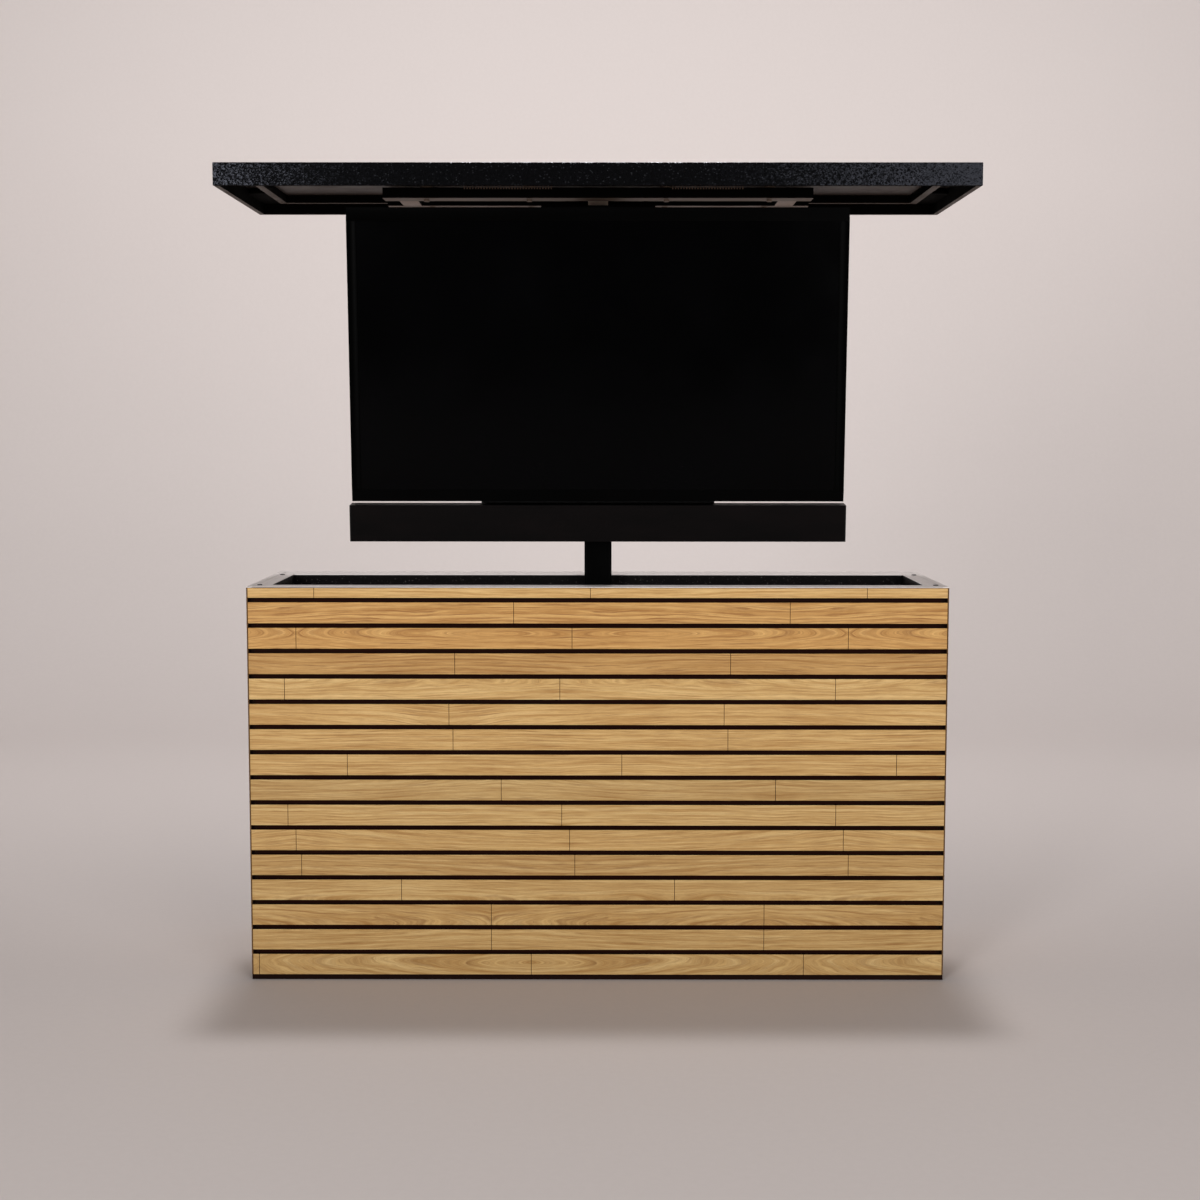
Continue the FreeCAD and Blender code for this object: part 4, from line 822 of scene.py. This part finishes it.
def service_cover():
    """The flat cover over the sockets on the television's back."""
    left, right = COVER_SIDES
    bottom, top = COVER_ENDS
    low, high = in_mm((left, TV_BACK - ROOT, bottom), (right, TV_BACK + COVER_THICKNESS, top))
    mesh = bmesh.new()
    add_block(mesh, low, high, 1.4 * MM, 3)
    lean_back(mesh)
    piece_from("service_cover", mesh, [MATERIALS["tv_plastic"]], "tv_set")


def vent_ribs():
    """The row of upright ribs under the television's upper edge."""
    each_side, pitch, half_width, thickness = 30, 14, 3, 1.4
    bottom, top = TV_TOP - 62, TV_TOP - 26
    mesh = bmesh.new()
    for number in range(-each_side, each_side + 1):
        middle = number * pitch
        low, high = in_mm((middle - half_width, TV_BACK - ROOT, bottom),
                          (middle + half_width, TV_BACK + thickness, top))
        add_block(mesh, low, high, 1.0 * MM, 2)
    lean_back(mesh)
    piece_from("vent_ribs", mesh, [MATERIALS["tv_plastic"]], "tv_set")


def television_screws():
    """Screws along the edges of the television's back, and smaller ones in its cover's corners."""
    side_inset, top_inset, bottom_inset = 16, 14, 20
    pair_reach, pair_inset, cover_inset = 250, 14, 12
    places = [(side * (TV_HALF_WIDTH - side_inset), TV_BACK, height) for side in (-1, 1)
              for height in (TV_BOTTOM + bottom_inset, 0, TV_TOP - top_inset)]
    places += [(side * pair_reach, TV_BACK, TV_BOTTOM + pair_inset) for side in (-1, 1)]
    mesh = bmesh.new()
    for place in in_mm(*places):
        turned(mesh, place, (0, 1, 0), screw_outline(4 * MM, 2 * MM, 2 * MM), 16)
    left, right = COVER_SIDES
    bottom, top = COVER_ENDS
    corners = [(across, TV_BACK + COVER_THICKNESS, height)
               for height in (bottom + cover_inset, top - cover_inset)
               for across in (left + cover_inset, right - cover_inset)]
    for place in in_mm(*corners):
        turned(mesh, place, (0, 1, 0), screw_outline(3 * MM, 1.4 * MM, 1.5 * MM), 16)
    lean_back(mesh)
    piece_from("television_screws", mesh, [MATERIALS["dark_steel"]], "tv_set")


def soundbar_sockets():
    """A plate with three round sockets on the soundbar's back."""
    half_height, left, right, thickness = 18, 330, 450, 1.5
    first, pitch, seat = 360, 30, 1.4
    low, high = in_mm((left, SOUNDBAR_BACK - ROOT, SOUNDBAR_MIDDLE - half_height),
                      (right, SOUNDBAR_BACK + thickness, SOUNDBAR_MIDDLE + half_height))
    socket = in_mm((8, 0), (8, 1.2), (6.4, 1.6), (5.2, 1.6), (5.2, 0.3))
    mesh = bmesh.new()
    add_block(mesh, low, high, 1.0 * MM, 3)
    for place in in_mm(*((first + pitch * number, SOUNDBAR_BACK + seat, SOUNDBAR_MIDDLE)
                         for number in range(3))):
        turned(mesh, place, (0, 1, 0), socket)
    lean_back(mesh)
    piece_from("soundbar_sockets", mesh, [MATERIALS["speaker"]], "tv_set")


def fittings():
    """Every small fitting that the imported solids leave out."""
    rim_buffers()
    rear_screws()
    hinge_screws()
    door_lock()
    gland_nut()
    column_wipers()
    beam_combs()
    head_bolts()
    tilt_base_bolts()
    service_cover()
    vent_ribs()
    television_screws()
    soundbar_sockets()


# ---------------------------------------------------------------- oak boards

# The front rows, counted from the top, whose boards are the warmest.
WARM_ROWS = (1, 2, 3)
# The front rows that were cut from darker wood than their neighbours.
DARK_ROWS = (3, 8, 11, 15)
ROWS = 16
# How far along a board its pith line, which slopes, has the depth that the board's row gives it.
SLOPE_START = 0.3


def islands(name):
    """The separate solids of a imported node, each as its lowest and highest corner."""
    mesh = bmesh.new()
    mesh.from_mesh(NODES[name].data)
    bmesh.ops.remove_doubles(mesh, verts=mesh.verts, dist=0.01 * MM)
    waiting = set(mesh.verts)
    boxes = []
    while waiting:
        seed = waiting.pop()
        group = [seed]
        for vert in group:
            for edge in vert.link_edges:
                other = edge.other_vert(vert)
                if other in waiting:
                    waiting.remove(other)
                    group.append(other)
        low = Vector([min(vert.co[axis] for vert in group) for axis in range(3)])
        high = Vector([max(vert.co[axis] for vert in group) for axis in range(3)])
        boxes.append((low, high))
    mesh.free()
    return boxes


def row_figure(row, side):
    """What sets one row of boards apart: where its pith line runs, its slope, its tone and its shade.

    Its shade is painted shade: it grows row by row towards the bottom, standing in for the light that falls off
    towards the floor, and is larger for the rows of darker wood.
    """
    chance = random.Random(100 * side + row)
    warm = side == 0 and row in WARM_ROWS
    return {
        "across": chance.choice((-1, 1)) * chance.uniform(0.005, 0.07),
        "deep": chance.uniform(-0.010, 0.045),
        "slope": chance.choice((-1, 1)) * chance.uniform(0.02, 0.08),
        "tone": chance.uniform(0.8, 1.0) if warm else chance.uniform(0.0, 0.4),
        # Painted shade that darkens each row more towards the bottom, plus the darker wood of a few rows.
        "shade": row / (ROWS - 1) + (0.4 if side == 0 and row in DARK_ROWS else 0.0),
        "shift": 3.0 * row + 60.0 * side,
    }


def board_along(box, axis, row_boxes, index):
    """How the distance along a board is measured, so that boards mirror each other at every joint."""
    low, high = box
    if index == 0:
        joint = row_boxes[0][1][axis]
        return lambda value: joint - value
    if index % 2:
        return lambda value: value - low[axis]
    start = row_boxes[1][1][axis] - row_boxes[1][0][axis]
    return lambda value: start - (value - low[axis])


def paint_board(faces, face_axis, outward):
    """Oak on a board's face and its eased edges, near-black brown painted shade on its sides and its back."""
    for face in faces:
        out = face.normal[face_axis] * outward
        face.material_index = 0 if out > 0.3 else 1
        face.smooth = False


def oak_panel(name, axis, face_axis, outward, side, first_row):
    """Boards with eased edges in the place of a node's plain ones; returns how many rows they make."""
    rows = {}
    for box in islands(name):
        rows.setdefault(round(box[1][2] / MM), []).append(box)
    mesh = bmesh.new()
    grain = mesh.verts.layers.float_vector.new("grain")
    tone = mesh.verts.layers.float.new("tone")
    shade = mesh.verts.layers.float.new("shade")
    for number, height in enumerate(sorted(rows, reverse=True)):
        row_boxes = sorted(rows[height], key=lambda box: box[0][axis])
        figure = row_figure(first_row + number, side)
        for index, (low, high) in enumerate(row_boxes):
            along = board_along((low, high), axis, row_boxes, index)
            face_level = (high if outward > 0 else low)[face_axis]
            middle = (low[2] + high[2]) / 2
            faces = add_block(mesh, low, high, 0.7 * MM)
            paint_board(faces, face_axis, outward)
            for vert in {vert for face in faces for vert in face.verts}:
                run = along(vert.co[axis])
                depth = (vert.co[face_axis] - face_level) * outward
                vert[grain] = (run + figure["shift"], vert.co[2] - middle + figure["across"],
                               depth + figure["deep"] + figure["slope"] * (run - SLOPE_START))
                vert[tone] = figure["tone"]
                # Each row's painted shade, darker towards the bottom.
                vert[shade] = figure["shade"]
    panel = piece_from("oak_" + name, mesh, [MATERIALS["oak"], OAK_EDGE_SHADE], "cabinet")
    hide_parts(name)
    return len(rows)


def oak_cladding():
    """All the boards: the front panels from the top row down, then the two ends."""
    row = 0
    for number in range(1, 5):
        row += oak_panel("front_slats_%d" % number, 0, 1, -1, 0, row)
    oak_panel("right_slats", 1, 0, 1, 1, 0)
    oak_panel("left_slats", 1, 0, -1, 2, 0)


# ---------------------------------------------------------------- studio

def sweep_paper():
    """Pale warm paper."""
    recipe = Recipe("sweep_paper", roughness=0.9, specular=0.1)
    fibre = recipe.noise(recipe.place(), 60.0, 3.0)
    recipe.put("Base Color", recipe.mix(fibre, colour(205, 196, 193), colour(209, 200, 197)))
    return recipe.material


def sweep():
    """A pale floor that bends up into a backdrop."""
    floor_front, bend_start, radius, top, half_width = -9.0, 3.2, 2.4, 9.0, 12.0
    bend_steps = 24
    outline = [(floor_front, 0.0), (bend_start, 0.0)]
    for step in range(1, bend_steps + 1):
        angle = math.pi / 2 * step / bend_steps
        outline.append((bend_start + radius * math.sin(angle), radius * (1 - math.cos(angle))))
    outline.append((bend_start + radius, top))
    mesh = bmesh.new()
    left = [mesh.verts.new((-half_width, y, z)) for y, z in outline]
    right = [mesh.verts.new((half_width, y, z)) for y, z in outline]
    for index in range(len(outline) - 1):
        face = mesh.faces.new((left[index], right[index], right[index + 1], left[index + 1]))
        face.smooth = True
    data = bpy.data.meshes.new("sweep")
    mesh.to_mesh(data)
    mesh.free()
    data.materials.append(sweep_paper())
    made = bpy.data.objects.new("sweep", data)
    bpy.context.scene.collection.objects.link(made)


def room_light():
    """A pale even light from all around."""
    strength = 0.21
    world = bpy.data.worlds.new("studio")
    world.use_nodes = True
    background = world.node_tree.nodes["Background"]
    background.inputs["Color"].default_value = colour(236, 232, 230)
    background.inputs["Strength"].default_value = strength
    bpy.context.scene.world = world


def lamp(name, place, target, size, watts, spread=180):
    """A rectangular soft light that looks at a point; a smaller spread in degrees narrows its beam."""
    light = bpy.data.lights.new(name, "AREA")
    light.shape = "RECTANGLE"
    light.size, light.size_y = size
    light.energy = watts
    light.spread = math.radians(spread)
    made = bpy.data.objects.new(name, light)
    made.visible_camera = False
    made.location = place
    made.rotation_mode = "QUATERNION"
    made.rotation_quaternion = (Vector(target) - Vector(place)).to_track_quat("-Z", "Y")
    bpy.context.scene.collection.objects.link(made)


def lamps():
    """A far narrow light from above, a softbox to each side of the camera, and a backdrop light."""
    lamp("overhead", (0.0, 7.2, 40.0), (0.0, -0.7, 0.0), (5.0, 5.4), 27, 6.8)
    lamp("left_softbox", (-3.9, -8.6, 2.3), (0.0, -0.2, 0.8), (2.0, 3.0), 358)
    lamp("right_softbox", (4.1, -8.6, 2.3), (0.0, -0.2, 0.8), (4.4, 3.6), 352)
    lamp("backdrop_glow", (0.0, 1.6, 3.6), (0.0, 5.0, 1.9), (8.5, 1.0), 172)


# Where the camera stands in metres, and how far it is turned in degrees.
CAMERA_PLACE = (0.017, -4.548, 1.269)
CAMERA_PITCH, CAMERA_YAW, CAMERA_ROLL = 5.10, -0.15, 0.03
SENSOR_WIDTH, FOCAL_LENGTH = 36.0, 57.0


def camera():
    """A camera a little above the cabinet, 4.3 m in front of it, looking slightly down."""
    pitch, yaw, roll = (math.radians(angle) for angle in (CAMERA_PITCH, CAMERA_YAW, CAMERA_ROLL))
    data = bpy.data.cameras.new("camera")
    data.sensor_width = SENSOR_WIDTH
    data.lens = FOCAL_LENGTH
    made = bpy.data.objects.new("camera", data)
    made.location = CAMERA_PLACE
    level = Vector((math.sin(yaw), math.cos(yaw), 0.0))
    forward = level * math.cos(pitch) - Vector((0.0, 0.0, math.sin(pitch)))
    made.rotation_mode = "QUATERNION"
    aimed = forward.to_track_quat("-Z", "Y")
    made.rotation_quaternion = aimed @ Matrix.Rotation(roll, 3, "Z").to_quaternion()
    bpy.context.scene.collection.objects.link(made)
    bpy.context.scene.camera = made


paint_nodes()
paint_lid()
paint_front()
ease_nodes()
oak_cladding()
fittings()
sweep()
room_light()
lamps()
camera()
bpy.context.scene.view_settings.view_transform = "Standard"
